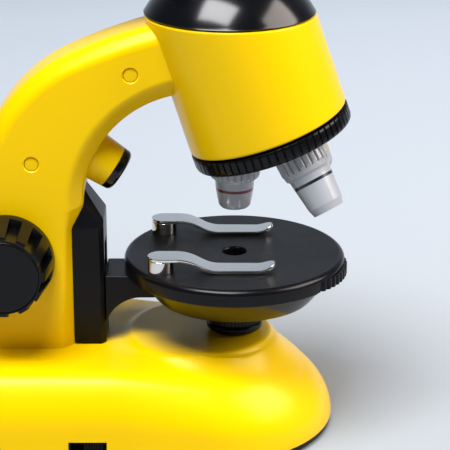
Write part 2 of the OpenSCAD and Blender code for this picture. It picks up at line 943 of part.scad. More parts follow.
module eyepiece_barrel() {
    color("black") on_tube() difference() {
        union() {
            rod(0, 0, [eyepiece_start, tube_end + gap], eyepiece_r);
            rod(0, 0, [tube_end + gap, eyepiece_top], eyepiece_head_r);
        }
        rod(0, 0, [0, 100], eyepiece_bore_r);
    }
}

module eyecup() {
    color("dimgray") on_tube() translate([0, 0, eyepiece_top]) rotate_extrude() polygon([
        [eyepiece_bore_r, 0], [eyecup_r, 0], [eyecup_r, eyecup_h - 0.8], [eyecup_r - 0.8, eyecup_h],
        [12.4, eyecup_h], [11, 1.5], [eyepiece_bore_r, 1.5]
    ]);
}

module eye_lens() {
    color("lightblue") on_tube() rod(0, 0, [eyepiece_top - 2.4, eyepiece_top], eyepiece_bore_r);
}

module field_lens() {
    color("lightblue") on_tube() rod(0, 0, [eyepiece_start + 1, eyepiece_start + 3.4], eyepiece_bore_r);
}

// ---- Focus drive ----

module focus_shaft() {
    color("silver") rod_y(shaft_x, shaft_z, [-shaft_end, shaft_end], shaft_r);
}

// Half the angle that a tooth fills at radius r, for an involute flank
function flank_angle(r) =
    let (base = pinion_r * cos(pressure), a = acos(min(1, base / r)))
        90 / pinion_teeth - (tan(a) - tan(pressure)) * 180 / PI + a - pressure - backlash / 2 / pinion_r * 180 / PI;

function tooth_points(turn) =
    let (radii = [for (i = [0 : 4]) pinion_r * cos(pressure) + (pinion_r * (1 - cos(pressure)) + 0.68) * i / 4])
        concat(
            [5.05 * [cos(turn - flank_angle(radii[0])), sin(turn - flank_angle(radii[0]))]],
            [for (r = radii) r * [cos(turn - flank_angle(r)), sin(turn - flank_angle(r))]],
            [for (i = [4 : -1 : 0]) radii[i] * [cos(turn + flank_angle(radii[i])), sin(turn + flank_angle(radii[i]))]],
            [5.05 * [cos(turn + flank_angle(radii[0])), sin(turn + flank_angle(radii[0]))]]
        );

module focus_pinion() {
    color("ivory") translate([shaft_x, 0, shaft_z]) difference() {
        side_plate(3.5) polygon([for (k = [0 : pinion_teeth - 1]) each tooth_points(360 * k / pinion_teeth)]);
        rod_y(0, 0, [-5, 5], shaft_r);
    }
}

// One rack tooth above height z, with its root on both sides
function rack_tooth(z) =
    let (tip = 0.6, root = 0.86, half = tooth_pitch / 4 - backlash / 2, slope = tan(pressure))
        [
            [pitch_line_x + root, z + tooth_pitch / 2 - half - root * slope],
            [pitch_line_x - tip, z + tooth_pitch / 2 - half + tip * slope],
            [pitch_line_x - tip, z + tooth_pitch / 2 + half - tip * slope],
            [pitch_line_x + root, z + tooth_pitch / 2 + half + root * slope]
        ];

module focus_rack() {
    bottom = shaft_z - rack_below * tooth_pitch;
    top = shaft_z + rack_above * tooth_pitch;
    color("ivory") {
        side_plate(rack_half) polygon(concat(
            [[rack_back_x, top], [rack_back_x, bottom], [pitch_line_x + 0.86, bottom]],
            [for (k = [-rack_below : rack_above - 1]) each rack_tooth(shaft_z + k * tooth_pitch)],
            [[pitch_line_x + 0.86, top]]
        ));
        block([rack_back_x, carriage_x[0]], [-rack_half, rack_half], [50.6, 56]);
    }
}

module focus_knob(side) {
    depth = knob_y[1] - knob_y[0];
    color("black") translate([shaft_x, side * knob_y[0], shaft_z]) rotate([-90 * side, 0, 0]) difference() {
        rotate_extrude() polygon([
            [0, 0], [knob_r - 0.6, 0], [knob_r, 0.6], [knob_r, 1.8], [knob_front_r, depth - 0.5],
            [knob_front_r - 0.5, depth], [0, depth]
        ]);
        rod(0, 0, [-1, shaft_end - knob_y[0]], shaft_r);
        rod(0, 0, [depth - 1.4, depth + 1], cap_r);
        for (k = [0 : grooves - 1]) rotate([0, 0, 360 * (k + 0.5) / grooves])
            block([knob_front_r - 1.1, knob_r + 1], [-1.7, 1.7], [3.4, depth + 1]);
    }
}

module focus_knob_right() {
    focus_knob(-1);
}

module focus_knob_left() {
    focus_knob(1);
}

module focus_knob_caps() {
    y = [knob_y[1] - 1.4, knob_y[1] + 0.4];
    color("black") {
        rod_y(shaft_x, shaft_z, y, cap_r);
        rod_y(shaft_x, shaft_z, [-y[1], -y[0]], cap_r);
    }
}

from_axis() base_shell();
from_axis() base_cover();
from_axis() rubber_feet();
from_axis() battery_door();
from_axis() battery_door_screw();
from_axis() batteries();
from_axis() battery_contacts();
from_axis() base_screws();
from_axis() switch_housing();
from_axis() circuit_board();
from_axis() lamp_housing();
from_axis() lamp_leds();
from_axis() lamp_lenses();
from_axis() wiring();
from_axis() arm_shell_right();
from_axis() arm_shell_left();
from_axis() arm_screws();
from_axis() arm_screw_plugs();
from_axis() arm_foot_screws();
from_axis() upper_lamp_housing();
from_axis() upper_lamp_bezel();
from_axis() rail_housing();
from_axis() focus_bushes();
from_axis() head_shell();
from_axis() head_base_plate();
from_axis() head_bearing_ring();
from_axis() turret_pivot();
from_axis() turret_detent_spring();
from_axis() stage_plate();
from_axis() stage_dish();
from_axis() stage_bracket();
from_axis() stage_carriage();
from_axis() focus_rack();
from_axis() stage_screws();
from_axis() filter_wheel_pivot();
from_axis() clip_post_right();
from_axis() clip_strap_right();
from_axis() clip_post_left();
from_axis() clip_strap_left();
from_axis() filter_wheel();
from_axis() filter_discs();
from_axis() turret_ring();
from_axis() objective_low();
from_axis() objective_mid();
from_axis() objective_high();
from_axis() objective_lenses();
from_axis() head_dome();
from_axis() mirror_holder();
from_axis() head_mirror();
from_axis() eyepiece_barrel();
from_axis() eyecup();
from_axis() eye_lens();
from_axis() field_lens();
from_axis() focus_shaft();
from_axis() focus_pinion();
from_axis() focus_knob_right();
from_axis() focus_knob_left();
from_axis() focus_knob_caps();
from_axis() switch_slider();
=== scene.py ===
"""Looks for the small microscope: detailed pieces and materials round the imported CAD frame.

Lengths are in millimetres from the optical axis unless a name says otherwise, and become metres in piece()."""

import json
import math

import bmesh
import bpy
from mathutils import Matrix, Vector


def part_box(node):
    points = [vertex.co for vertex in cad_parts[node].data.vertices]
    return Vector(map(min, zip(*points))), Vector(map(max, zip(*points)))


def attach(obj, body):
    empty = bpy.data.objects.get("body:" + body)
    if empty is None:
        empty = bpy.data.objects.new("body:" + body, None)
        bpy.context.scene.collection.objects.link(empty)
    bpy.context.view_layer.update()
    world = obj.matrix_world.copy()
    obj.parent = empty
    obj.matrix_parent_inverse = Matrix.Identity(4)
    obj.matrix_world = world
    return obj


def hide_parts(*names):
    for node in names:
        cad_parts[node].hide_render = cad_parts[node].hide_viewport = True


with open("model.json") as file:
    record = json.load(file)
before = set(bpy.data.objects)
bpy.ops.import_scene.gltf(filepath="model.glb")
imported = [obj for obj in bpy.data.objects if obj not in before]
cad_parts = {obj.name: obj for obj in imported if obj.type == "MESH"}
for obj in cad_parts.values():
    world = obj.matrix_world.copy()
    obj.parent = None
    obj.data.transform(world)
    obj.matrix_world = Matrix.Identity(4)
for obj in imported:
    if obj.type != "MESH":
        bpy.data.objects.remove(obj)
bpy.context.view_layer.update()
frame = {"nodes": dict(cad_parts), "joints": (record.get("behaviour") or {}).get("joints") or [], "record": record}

MM = 0.001
STAGE_LOW, STAGE_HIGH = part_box("stage_plate")
AXIS_X = (STAGE_LOW.x + STAGE_HIGH.x) / 2
STAGE_Z = STAGE_HIGH.z / MM
JOINTS = {joint["name"]: joint for joint in frame["joints"]}


def spot_of(joint):
    """A joint's place in millimetres from the optical axis."""
    x, y, z = JOINTS[joint]["pos_m"]
    return Vector(((x - AXIS_X) / MM, y / MM, z / MM))


def box_of(node):
    """A node's box in millimetres from the optical axis."""
    low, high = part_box(node)
    shift = Vector((AXIS_X, 0, 0))
    return (low - shift) / MM, (high - shift) / MM


def on_arc(middle, radius, degrees):
    angle = math.radians(degrees)
    return middle + radius * Vector((math.cos(angle), math.sin(angle)))


def curve(start, bend, end, t):
    """A point of the quadratic curve from start to end that leaves and arrives along the lines to bend."""
    return start * (1 - t) ** 2 + bend * 2 * t * (1 - t) + end * t * t


def ramp(value, start, length):
    """0 up to start, then rising to 1 over length."""
    return min(max((value - start) / length, 0.0), 1.0)


def ease(t):
    return t * t * (3 - 2 * t)


# ---------------------------------------------------------------- materials

def set_inputs(node, values):
    for name, value in values.items():
        node.inputs[name].default_value = value


def node_of(tree, kind, **values):
    made = tree.nodes.new(kind)
    for name, value in values.items():
        setattr(made, name, value)
    return made


def place_along(tree, axis):
    """The output that gives the place along one axis of the object."""
    place = next(n for n in tree.nodes if n.type == "TEX_COORD")
    split = node_of(tree, "ShaderNodeSeparateXYZ")
    tree.links.new(place.outputs["Object"], split.inputs["Vector"])
    return split.outputs[axis]


def two_tone(tree, share, colours):
    """Mixes two colours by a node's output and gives them to the shader."""
    mix = node_of(tree, "ShaderNodeMix", data_type="RGBA")
    set_inputs(mix, {6: [*colours[0], 1], 7: [*colours[1], 1]})
    tree.links.new(share, mix.inputs["Factor"])
    tree.links.new(mix.outputs[2], tree.nodes["Principled BSDF"].inputs["Base Color"])


def finish_material(
    name, colour, roughness, shade=0.06, patch=0.02, grain=0.0004, bump=0.05, depth=0.00004,
    metal=0.0, coat=0.0, coat_roughness=0.08, spread=0.08, specular=0.5, tint=(1, 1, 1), glass=0.0, ior=1.45
):
    """A moulded or machined surface: colour and roughness drift in soft patches, and a fine grain bumps it."""
    material = bpy.data.materials.new(name)
    material.use_nodes = True
    tree = material.node_tree
    link = tree.links.new
    shader = tree.nodes["Principled BSDF"]
    set_inputs(shader, {
        "Metallic": metal, "Coat Weight": coat, "Coat Roughness": coat_roughness, "Specular IOR Level": specular,
        "Specular Tint": [*tint, 1], "Transmission Weight": glass, "IOR": ior})
    place = node_of(tree, "ShaderNodeTexCoord")
    patches = node_of(tree, "ShaderNodeTexNoise")
    set_inputs(patches, {"Scale": 1 / patch, "Detail": 4})
    link(place.outputs["Object"], patches.inputs["Vector"])
    tones = node_of(tree, "ShaderNodeValToRGB")
    for stop, position, change in zip(tones.color_ramp.elements, (0.3, 0.7), (-shade, shade)):
        stop.position = position
        stop.color = [min(1, c * (1 + change)) for c in colour] + [1]
    link(patches.outputs["Fac"], tones.inputs["Fac"])
    link(tones.outputs["Color"], shader.inputs["Base Color"])
    fine = node_of(tree, "ShaderNodeTexNoise")
    set_inputs(fine, {"Scale": 1 / grain, "Detail": 3})
    link(place.outputs["Object"], fine.inputs["Vector"])
    rough = node_of(tree, "ShaderNodeMapRange")
    set_inputs(rough, {"To Min": max(0.0, roughness - spread / 2), "To Max": roughness + spread / 2})
    link(patches.outputs["Fac"], rough.inputs["Value"])
    link(rough.outputs["Result"], shader.inputs["Roughness"])
    relief = node_of(tree, "ShaderNodeBump")
    set_inputs(relief, {"Strength": bump, "Distance": depth})
    link(fine.outputs["Fac"], relief.inputs["Height"])
    link(relief.outputs["Normal"], shader.inputs["Normal"])
    if coat:
        link(relief.outputs["Normal"], shader.inputs["Coat Normal"])
    return material


def banded(material, colours, axis, pitch):
    """Adds stripes along one axis to a material's colour, for printed cell wraps and board traces."""
    tree = material.node_tree
    repeat = node_of(tree, "ShaderNodeMath", operation="PINGPONG")
    set_inputs(repeat, {1: pitch / 2})
    tree.links.new(place_along(tree, axis), repeat.inputs[0])
    edge = node_of(tree, "ShaderNodeMath", operation="GREATER_THAN")
    set_inputs(edge, {1: pitch * 0.3})
    tree.links.new(repeat.outputs["Value"], edge.inputs[0])
    two_tone(tree, edge.outputs["Value"], colours)
    return material


MATERIALS = {
    "yellow": finish_material(
        "yellow_plastic", (0.88, 0.565, 0.0), 0.28, shade=0.02, patch=0.05, grain=0.0009, bump=0.12,
        depth=0.00003, spread=0.05, specular=0.42, tint=(1, 0.9, 0.35)),
    "black_gloss": finish_material(
        "gloss_black_plastic", (0.002, 0.0025, 0.004), 0.17, shade=0.1, patch=0.03, grain=0.0012, bump=0.04,
        depth=0.00002, spread=0.05, specular=0.42),
    "black_satin": finish_material(
        "satin_black_plastic", (0.003, 0.003, 0.004), 0.34, shade=0.15, patch=0.012, grain=0.0003, bump=0.15,
        depth=0.00003, spread=0.1, specular=0.2),
    "stage_black": finish_material(
        "grained_black_plastic", (0.003, 0.003, 0.004), 0.42, shade=0.25, patch=0.006, grain=0.00035, bump=0.7,
        depth=0.00009, spread=0.14, specular=0.3),
    "rubber": finish_material(
        "soft_rubber", (0.006, 0.006, 0.006), 0.62, shade=0.2, patch=0.006, grain=0.00025, bump=0.4,
        depth=0.00005, specular=0.3),
    "grey_plastic": finish_material(
        "grey_plastic", (0.36, 0.38, 0.41), 0.24, shade=0.03, patch=0.01, grain=0.0006, bump=0.06,
        depth=0.00002, coat=0.25, coat_roughness=0.12),
    "clip_metal": finish_material(
        "polished_clip_metal", (0.80, 0.79, 0.77), 0.14, shade=0.03, patch=0.008, grain=0.0007, bump=0.08,
        depth=0.00003, metal=1.0, spread=0.08),
    "steel": finish_material(
        "zinc_steel", (0.52, 0.52, 0.53), 0.3, shade=0.08, patch=0.003, grain=0.0002, bump=0.2,
        depth=0.00002, metal=1.0, spread=0.15),
    "brass": finish_material(
        "turned_brass", (0.72, 0.50, 0.20), 0.25, shade=0.08, patch=0.003, grain=0.0002, bump=0.2,
        depth=0.00002, metal=1.0, spread=0.12),
    "nylon": finish_material(
        "natural_nylon", (0.72, 0.70, 0.60), 0.45, shade=0.05, patch=0.004, grain=0.0003, bump=0.2,
        depth=0.00003),
    "cell": banded(
        finish_material("cell_wrap", (0.03, 0.14, 0.06), 0.3, coat=0.3, patch=0.01),
        ((0.02, 0.10, 0.05), (0.75, 0.75, 0.72)), "X", 0.048),
    "board": banded(
        finish_material("solder_mask", (0.01, 0.16, 0.05), 0.35, patch=0.004),
        ((0.01, 0.16, 0.05), (0.02, 0.24, 0.09)), "Z", 0.0016),
    "led_clear": finish_material(
        "led_epoxy", (0.95, 0.95, 0.92), 0.08, shade=0.02, glass=0.7, ior=1.5, bump=0.02),
    "lens_glass": finish_material(
        "lens_glass", (0.95, 0.98, 1.0), 0.02, shade=0.01, glass=1.0, ior=1.5, spread=0.02, bump=0.01),
    "mirror": finish_material(
        "front_mirror", (0.9, 0.9, 0.9), 0.03, shade=0.01, metal=1.0, spread=0.02, bump=0.01),
    "filter_red": finish_material(
        "filter_film", (0.75, 0.08, 0.04), 0.12, shade=0.05, glass=0.8, bump=0.02),
    "wire_red": finish_material(
        "wire_insulation", (0.45, 0.02, 0.015), 0.4, shade=0.1, patch=0.004, bump=0.1),
}
BAND_RED = finish_material("band_red_print", (0.16, 0.006, 0.012), 0.3, coat=0.2, patch=0.004)
BAND_NAVY = finish_material("band_navy_print", (0.006, 0.012, 0.028), 0.3, coat=0.2, patch=0.004)
BAND_YELLOW = finish_material("band_yellow_print", (0.6, 0.4, 0.01), 0.3, coat=0.2, patch=0.004)
SMOOTH_BLACK = finish_material(
    "smooth_black_plastic", (0.003, 0.003, 0.004), 0.24, shade=0.1, patch=0.02, grain=0.0006, bump=0.06,
    depth=0.00002, spread=0.06, specular=0.25)

SLOT_OF = {row["node"]: row["material_slot"] for row in frame["record"]["subparts"]}
for node, cad in frame["nodes"].items():
    cad.data.materials.clear()
    cad.data.materials.append(MATERIALS[SLOT_OF[node]])


# ---------------------------------------------------------------- mesh tools

SHARP_TURN = 40
BEVEL_TURN = 35


class Build:
    """Corners in millimetres and faces with a material number each."""

    def __init__(self):
        self.corners = []
        self.faces = []
        self.marks = []

    def ring(self, points):
        start = len(self.corners)
        self.corners.extend(Vector(p) for p in points)
        return list(range(start, len(self.corners)))

    def face(self, ids, mark):
        self.faces.append(ids)
        self.marks.append(mark)

    def strip(self, one, two, mark):
        """Joins two rings of the same count, closed round."""
        count = len(one)
        for i in range(count):
            j = (i + 1) % count
            self.face([one[i], one[j], two[j], two[i]], mark)

    def loft(self, rows, marks=None, loop=False):
        """Skins rings of points in order. marks gives a material number for each strip."""
        rings = [self.ring(row) for row in rows]
        marks = marks or [0] * len(rings)
        for i in range(len(rings) - 1):
            self.strip(rings[i], rings[i + 1], marks[i])
        if loop:
            self.strip(rings[-1], rings[0], marks[-1])
        else:
            self.face(rings[0], marks[0])
            self.face(rings[-1], marks[-1])


def rounded(points, radius, steps=3, loop=False):
    """A line with its corners turned into arcs. radius is one number, or one for each point."""
    points = [Vector(p) for p in points]
    radii = radius if hasattr(radius, "__len__") else [radius] * len(points)
    made = []
    for i, corner in enumerate(points):
        inner = loop or 0 < i < len(points) - 1
        if not inner or radii[i] <= 0:
            made.append(corner)
            continue
        before, after = points[i - 1] - corner, points[(i + 1) % len(points)] - corner
        reach = min(radii[i], 0.48 * before.length, 0.48 * after.length)
        start, end = corner + before.normalized() * reach, corner + after.normalized() * reach
        for step in range(steps + 1):
            made.append(curve(start, corner, end, step / steps))
    return made


def turns(count):
    return [2 * math.pi * i / count for i in range(count)]


def off_rib(angle, ribs, width):
    """0 in the middle of a rib's gap, rising to 1 at width of the pitch from it."""
    phase = (angle * ribs / (2 * math.pi)) % 1
    return min(abs(phase - 0.5) / width, 1.0)


def lathe(build, profile, place=Matrix(), count=128, wave=None, marks=None, loop=False, angles=None):
    """Turns a line of (radius, height) points. wave(radius, height, angle) may change the radius."""
    angles = angles or turns(count)
    rows = []
    for point in profile:
        radius, height = point[0], point[1]
        row = []
        for angle in angles:
            r = wave(radius, height, angle) if wave else radius
            row.append(place @ Vector((r * math.cos(angle), r * math.sin(angle), height)))
        rows.append(row)
    build.loft(rows, marks, loop)


def object_of(name, build, materials=()):
    """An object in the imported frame, with doubled corners joined and faces turned outwards."""
    mesh = bpy.data.meshes.new(name)
    shift = Vector((AXIS_X, 0, 0))
    mesh.from_pydata([tuple(c * MM + shift) for c in build.corners], [], build.faces)
    for material in materials:
        mesh.materials.append(material)
    for polygon, mark in zip(mesh.polygons, build.marks):
        polygon.material_index = mark
    work = bmesh.new()
    work.from_mesh(mesh)
    bmesh.ops.remove_doubles(work, verts=work.verts, dist=1e-7)
    bmesh.ops.recalc_face_normals(work, faces=work.faces)
    work.to_mesh(mesh)
    work.free()
    made = bpy.data.objects.new(name, mesh)
    bpy.context.scene.collection.objects.link(made)
    return made


def carve(made, cutters):
    """Cuts solids out of a mesh and keeps the result."""
    tools = []
    for i, cutter in enumerate(cutters):
        tools.append(object_of(f"cutter_{i}", cutter))
        cut = made.modifiers.new(f"cut_{i}", "BOOLEAN")
        cut.operation = "DIFFERENCE"
        cut.solver = "EXACT"
        cut.object = tools[-1]
    bpy.context.view_layer.update()
    result = bpy.data.meshes.new_from_object(made.evaluated_get(bpy.context.evaluated_depsgraph_get()))
    made.modifiers.clear()
    made.data = result
    for tool in tools:
        bpy.data.objects.remove(tool)


def round_edges(made, width, degrees):
    """Rounds the edges that turn by more than degrees."""
    rim = made.modifiers.new("rounded_edges", "BEVEL")
    rim.width = width * MM
    rim.segments = 2
    rim.limit_method = "ANGLE"
    rim.angle_limit = math.radians(degrees)


def piece(name, build, body, slot, materials=None, replaces=(), bevel=0.0, cutters=()):
    """Makes the object, cuts it, rounds its edges and lets it ride on its body."""
    made = object_of(name, build, materials or [MATERIALS[slot]])
    if cutters:
        carve(made, cutters)
    for polygon in made.data.polygons:
        polygon.use_smooth = True
    made.data.set_sharp_from_angle(angle=math.radians(SHARP_TURN))
    if bevel:
        round_edges(made, bevel, BEVEL_TURN)
    weighted = made.modifiers.new("even_shading", "WEIGHTED_NORMAL")
    weighted.keep_sharp = True
    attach(made, body)
    if replaces:
        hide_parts(*replaces)


def block(x, y, z):
    build = Build()
    low = [(x[0], y[0]), (x[1], y[0]), (x[1], y[1]), (x[0], y[1])]
    build.loft([[(px, py, height) for px, py in low] for height in z])
    return build


def drill(place, radius, heights, flare=0.0):
    """A cutter: a round hole, opened out by flare at its upper end."""
    build = Build()
    profile = [(radius, heights[0]), (radius, heights[1] - flare), (radius + flare, heights[1]),
               (radius + flare, heights[1] + 2)]
    lathe(build, profile, place, 48)
    return build


def side_outline(build, outline, half):
    """An outline in X and Z made solid from -half to half in Y."""
    build.loft([[(x, y, z) for x, z in outline] for y in (-half, half)])


def turned(spot, degrees, axis):
    return Matrix.Translation(Vector(spot)) @ Matrix.Rotation(math.radians(degrees), 4, axis)


# ---------------------------------------------------------------- base

BASE_LOW, BASE_HIGH = box_of("base_shell")
BASE_R = BASE_HIGH.y
BASE_FRONT = BASE_HIGH.x - BASE_R
CORNER_R = 20.5
CORNER_X = BASE_LOW.x + CORNER_R
SKIRT_Z = BASE_LOW.z
BOSS_Z = BASE_HIGH.z
RIDGE_Z = BOSS_Z - 2
BOSS_R = 20.8
BOSS_EDGE = 1.5
BOSS_BLEND = 9.0
WIDE_BEND, TIGHT_BEND, BEND_TURN, WALL_TURN = 24, 7, 41, 5
NOSE_POWER = 1.93


def base_inset(x, y):
    """Distance in from the base's outline: a round front end, straight sides and a back with round corners."""
    if x > BASE_FRONT:
        return BASE_R - math.hypot(x - BASE_FRONT, y)
    if x > CORNER_X:
        return BASE_R - abs(y)
    over = max(0.0, abs(y) - BASE_R + CORNER_R)
    return CORNER_R - math.hypot(CORNER_X - x, over)


def side_table():
    """The base's sides as (inset, height): a steep wall, a wide bend and a tight bend into the flat top."""
    tight = Vector((BASE_R - 12, RIDGE_Z - TIGHT_BEND))
    wide = on_arc(tight, TIGHT_BEND - WIDE_BEND, BEND_TURN)
    points = [Vector((BASE_R, SKIRT_Z))]
    points += [on_arc(wide, WIDE_BEND, turn) for turn in range(WALL_TURN, BEND_TURN)]
    points += [on_arc(tight, TIGHT_BEND, turn) for turn in range(BEND_TURN, 91)]
    return [(BASE_R - p.x, p.y) for p in points]


SIDE_TABLE = side_table()


def base_height(x, y):
    """Height of the base's top: full shoulders at the back, a round nose in front and the lamp boss in a soft join."""
    inset = max(0.0, base_inset(x, y))
    full = RIDGE_Z
    for (d0, z0), (d1, z1) in zip(SIDE_TABLE, SIDE_TABLE[1:]):
        if inset < d1:
            full = z0 + (z1 - z0) * (inset - d0) / (d1 - d0)
            break
    full += (BOSS_Z - RIDGE_Z) * ease(ramp(inset, 7, 16) * ramp(x, -42, 20))
    fall = max(0.0, 1 - inset / BASE_R) ** NOSE_POWER
    nose = SKIRT_Z + (RIDGE_Z - SKIRT_Z) * max(0.0, 1 - fall) ** (1 / NOSE_POWER)
    dome = full + (nose - full) * ramp(x, -38, 60) ** 1.2

    out = math.hypot(x - BASE_FRONT, y)
    behind = ease(ramp(abs(math.degrees(math.atan2(y, x - BASE_FRONT))), 55, 65))
    drop = 0.8 - 0.8 * behind
    beyond = out - BOSS_R
    if beyond <= -BOSS_EDGE:
        return BOSS_Z
    if beyond < 0:
        dip = 1 + beyond / BOSS_EDGE
        return BOSS_Z - drop * (1 - math.sqrt(max(0.0, 1 - dip * dip)))
    slope = BOSS_Z - drop - beyond * (2.1 - 1.9 * behind) - 0.2 * behind * beyond * beyond
    near = max(BOSS_BLEND - abs(slope - dome), 0.0) / BOSS_BLEND
    join = near * near * BOSS_BLEND / 4 * min(1.0, beyond / 1.5)
    return min(BOSS_Z, max(slope, dome) + join)


def base_reach(ray):
    """How far the base's outline is from the boss's axis along a ray."""
    low, high = BASE_R - 1, 100.0
    for _ in range(40):
        reach = (low + high) / 2
        if base_inset(BASE_FRONT + ray.x * reach, ray.y * reach) > 0:
            low = reach
        else:
            high = reach
    return reach


def base_shell():
    build = Build()
    inner = [3, 7, 11, 15, 18, 19.3, 19.6, 19.9, 20.2, 20.4, 20.6, 20.7, 20.75, 20.8, 20.9, 21.1, 21.4, 21.8,
             22.3, 22.9, 23.6, 24.4, 25.3, 26.3, 27.4, 28.6, 30]
    outer = 56
    under = ((0.1, SKIRT_Z + 0.05), (0.3, SKIRT_Z), (2.0, SKIRT_Z), (2.2, SKIRT_Z + 2))
    rows = [[] for _ in range(len(inner) + outer + len(under))]
    for angle in turns(320):
        ray = Vector((math.cos(angle), math.sin(angle)))
        reach = base_reach(ray)
        spread = [math.sin(math.pi / 2 * i / outer) for i in range(1, outer + 1)]
        for i, radius in enumerate(inner + [inner[-1] + (reach - inner[-1]) * share for share in spread]):
            x, y = BASE_FRONT + ray.x * radius, ray.y * radius
            rows[i].append((x, y, base_height(x, y)))
        x, y, _ = rows[len(inner) + outer - 1].pop()
        rows[len(inner) + outer - 1].append((x, y, SKIRT_Z + 0.3))
        step = 0.01
        out = Vector((base_inset(x - step, y) - base_inset(x + step, y),
                      base_inset(x, y - step) - base_inset(x, y + step))).normalized()
        for i, (inset, z) in enumerate(under):
            rows[len(inner) + outer + i].append((x - out.x * inset, y - out.y * inset, z))
    build.loft(rows)
    low, high = box_of("switch_housing")
    window = block((low.x + 1.4, high.x - 2.1), (low.y - 3, high.y + 1), (low.z + 1.2, high.z - 1.9))
    piece("base_shell_moulding", build, "root", "yellow", replaces=["base_shell"], cutters=[window])


def base_parts():
    base_shell()
    low, high = box_of("lamp_housing")
    build = Build()
    ribs = 44
    profile = rounded([(3.4, low.z + 2), (3.4, low.z), (7.2, low.z), (9.0, low.z + 1.3), (9.0, low.z + 2.7),
                       (8.3, low.z + 3.3), (8.3, low.z + 6.7), (7.4, high.z), (6.3, high.z), (6.3, low.z + 3)], 0.45)

    def cup_wave(radius, height, angle):
        if low.z + 3.3 < height < high.z - 1 and radius > 8:
            return radius - 0.28 * (0.5 + 0.5 * math.cos(ribs * angle)) ** 2
        return radius

    lathe(build, profile, count=ribs * 8, wave=cup_wave, loop=True)
    piece("lamp_cup", build, "root", "black_satin", materials=[SMOOTH_BLACK], replaces=["lamp_housing"])

    low, high = box_of("rubber_feet")
    feet = Build()
    for x in (low.x + 5, high.x - 5):
        for y in (low.y + 5, high.y - 5):
            across = y * (22 / 24 if x > 0 else 1)
            profile = rounded([(0, low.z + 0.25), (3.2, low.z + 0.25), (3.5, low.z), (4.6, low.z), (5, low.z + 0.4),
                               (5, high.z), (0, high.z)], 0.25)
            lathe(feet, profile, Matrix.Translation((x, across, 0)), 48)
    piece("rubber_pads", feet, "root", "rubber", replaces=["rubber_feet"])


def switch_parts():
    low, high = box_of("switch_slider")
    build = Build()
    ribs = 7
    face = low.y
    pitch = (high.x - low.x - 0.6) / ribs
    outline = [(low.x, high.y), (low.x, face + 0.3)]
    for i in range(ribs):
        start = low.x + 0.3 + i * pitch
        outline += [(start + pitch * 0.05, face), (start + pitch * 0.5, face), (start + pitch * 0.6, face + 0.55),
                    (start + pitch * 0.95, face + 0.55)]
    outline += [(high.x, face + 0.3), (high.x, high.y)]
    build.loft([[(x, y, z) for x, y in outline] for z in (low.z, high.z)])
    piece("switch_thumb_slider", build, "power_switch", "black_satin", replaces=["switch_slider"], bevel=0.08)


# ---------------------------------------------------------------- arm

ARM_LOW = box_of("arm_shell_right")[0]
HALF_W = -ARM_LOW.y
COLUMN_BACK = ARM_LOW.x
COLUMN_FRONT = box_of("rail_housing")[0].x
FOOT_Z = ARM_LOW.z
BACK_ARC, BACK_ARC_R, ARC_TURN = Vector((-30.3, 78.2)), 49.9, 25
TOP_ARC_R = 159.6
TOP_ARC = on_arc(BACK_ARC, TOP_ARC_R - BACK_ARC_R, ARC_TURN - 90)
INNER_ARC, INNER_ARC_R = Vector((-11.4, 76.1)), 35.5
FACE_ARC, FACE_ARC_R = Vector((-8.55, 74.57)), 43.1
ARM_BEVEL = 4.1
ARM_END_X = -20
PLUG_SPOTS = ((-31.5, 118.4), (-62.3, 90.3))


def arm_stations():
    """Points along the arm, foot to end: the outer crest, its face edge, the inner face edge and the inner crest."""
    made = []
    column = [(z, COLUMN_FRONT) for z in (FOOT_Z, 29, 34, 42, 50, 58, 64, 67.9)]
    column += [(69.2, -50.1), (70.5, -49.4), (72, -48.65), (73.5, -47.9), (74.8, -47.3)]
    for z, front in column:
        # the flat of the column narrows towards the foot
        edge = -51.8 - 3.0 * (76 - z) / 47.3
        made.append([Vector((x, z)) for x in (COLUMN_BACK, COLUMN_BACK + ARM_BEVEL, edge, front)])
    last_top = math.degrees(math.acos((ARM_END_X - TOP_ARC.x) / TOP_ARC_R))
    back_len = (180 - 90 - ARC_TURN) * BACK_ARC_R
    top_len = (90 + ARC_TURN - last_top) * TOP_ARC_R
    steps = 72
    for i in range(steps + 1):
        share = i / steps
        run = share * (back_len + top_len)
        if run < back_len:
            middle, radius, turn = BACK_ARC, BACK_ARC_R, 180 - run / BACK_ARC_R
        else:
            middle, radius, turn = TOP_ARC, TOP_ARC_R, 90 + ARC_TURN - (run - back_len) / TOP_ARC_R
        outer, face = on_arc(middle, radius, turn), on_arc(middle, radius - ARM_BEVEL, turn)
        swing = 180 - 88 * share
        made.append((outer, face, on_arc(FACE_ARC, FACE_ARC_R, swing), on_arc(INNER_ARC, INNER_ARC_R, swing)))
    return made


def arm_half(side):
    """One moulded half of the arm. side is -1 for the right half, whose face carries the plugs."""
    build = Build()
    rows = []
    seam = 0.12
    crest = HALF_W - ARM_BEVEL
    for outer, face_out, face_in, inner in arm_stations():
        into = (inner - outer).normalized() * seam
        line = [(outer + into, 0.02), (outer, seam + 0.02), (outer, crest), (face_out, HALF_W), (face_in, HALF_W),
                (inner, crest), (inner, seam + 0.02), (inner - into, 0.02)]
        points = [(p.x, side * y, p.y) for p, y in line]
        rows.append(rounded(points, [0, 0, 2.2, 1.9, 1.5, 1.3, 0, 0], steps=4, loop=True))
    build.loft(rows)
    cutters = []
    if side < 0:
        for x, z in PLUG_SPOTS:
            place = turned((x, 0, z), 90, "X")
            cutters.append(drill(place, 2.25, (HALF_W - 1.6, HALF_W), flare=0.35))
    name = "right" if side < 0 else "left"
    piece(f"arm_half_{name}", build, "root", "yellow", replaces=[f"arm_shell_{name}"], cutters=cutters)


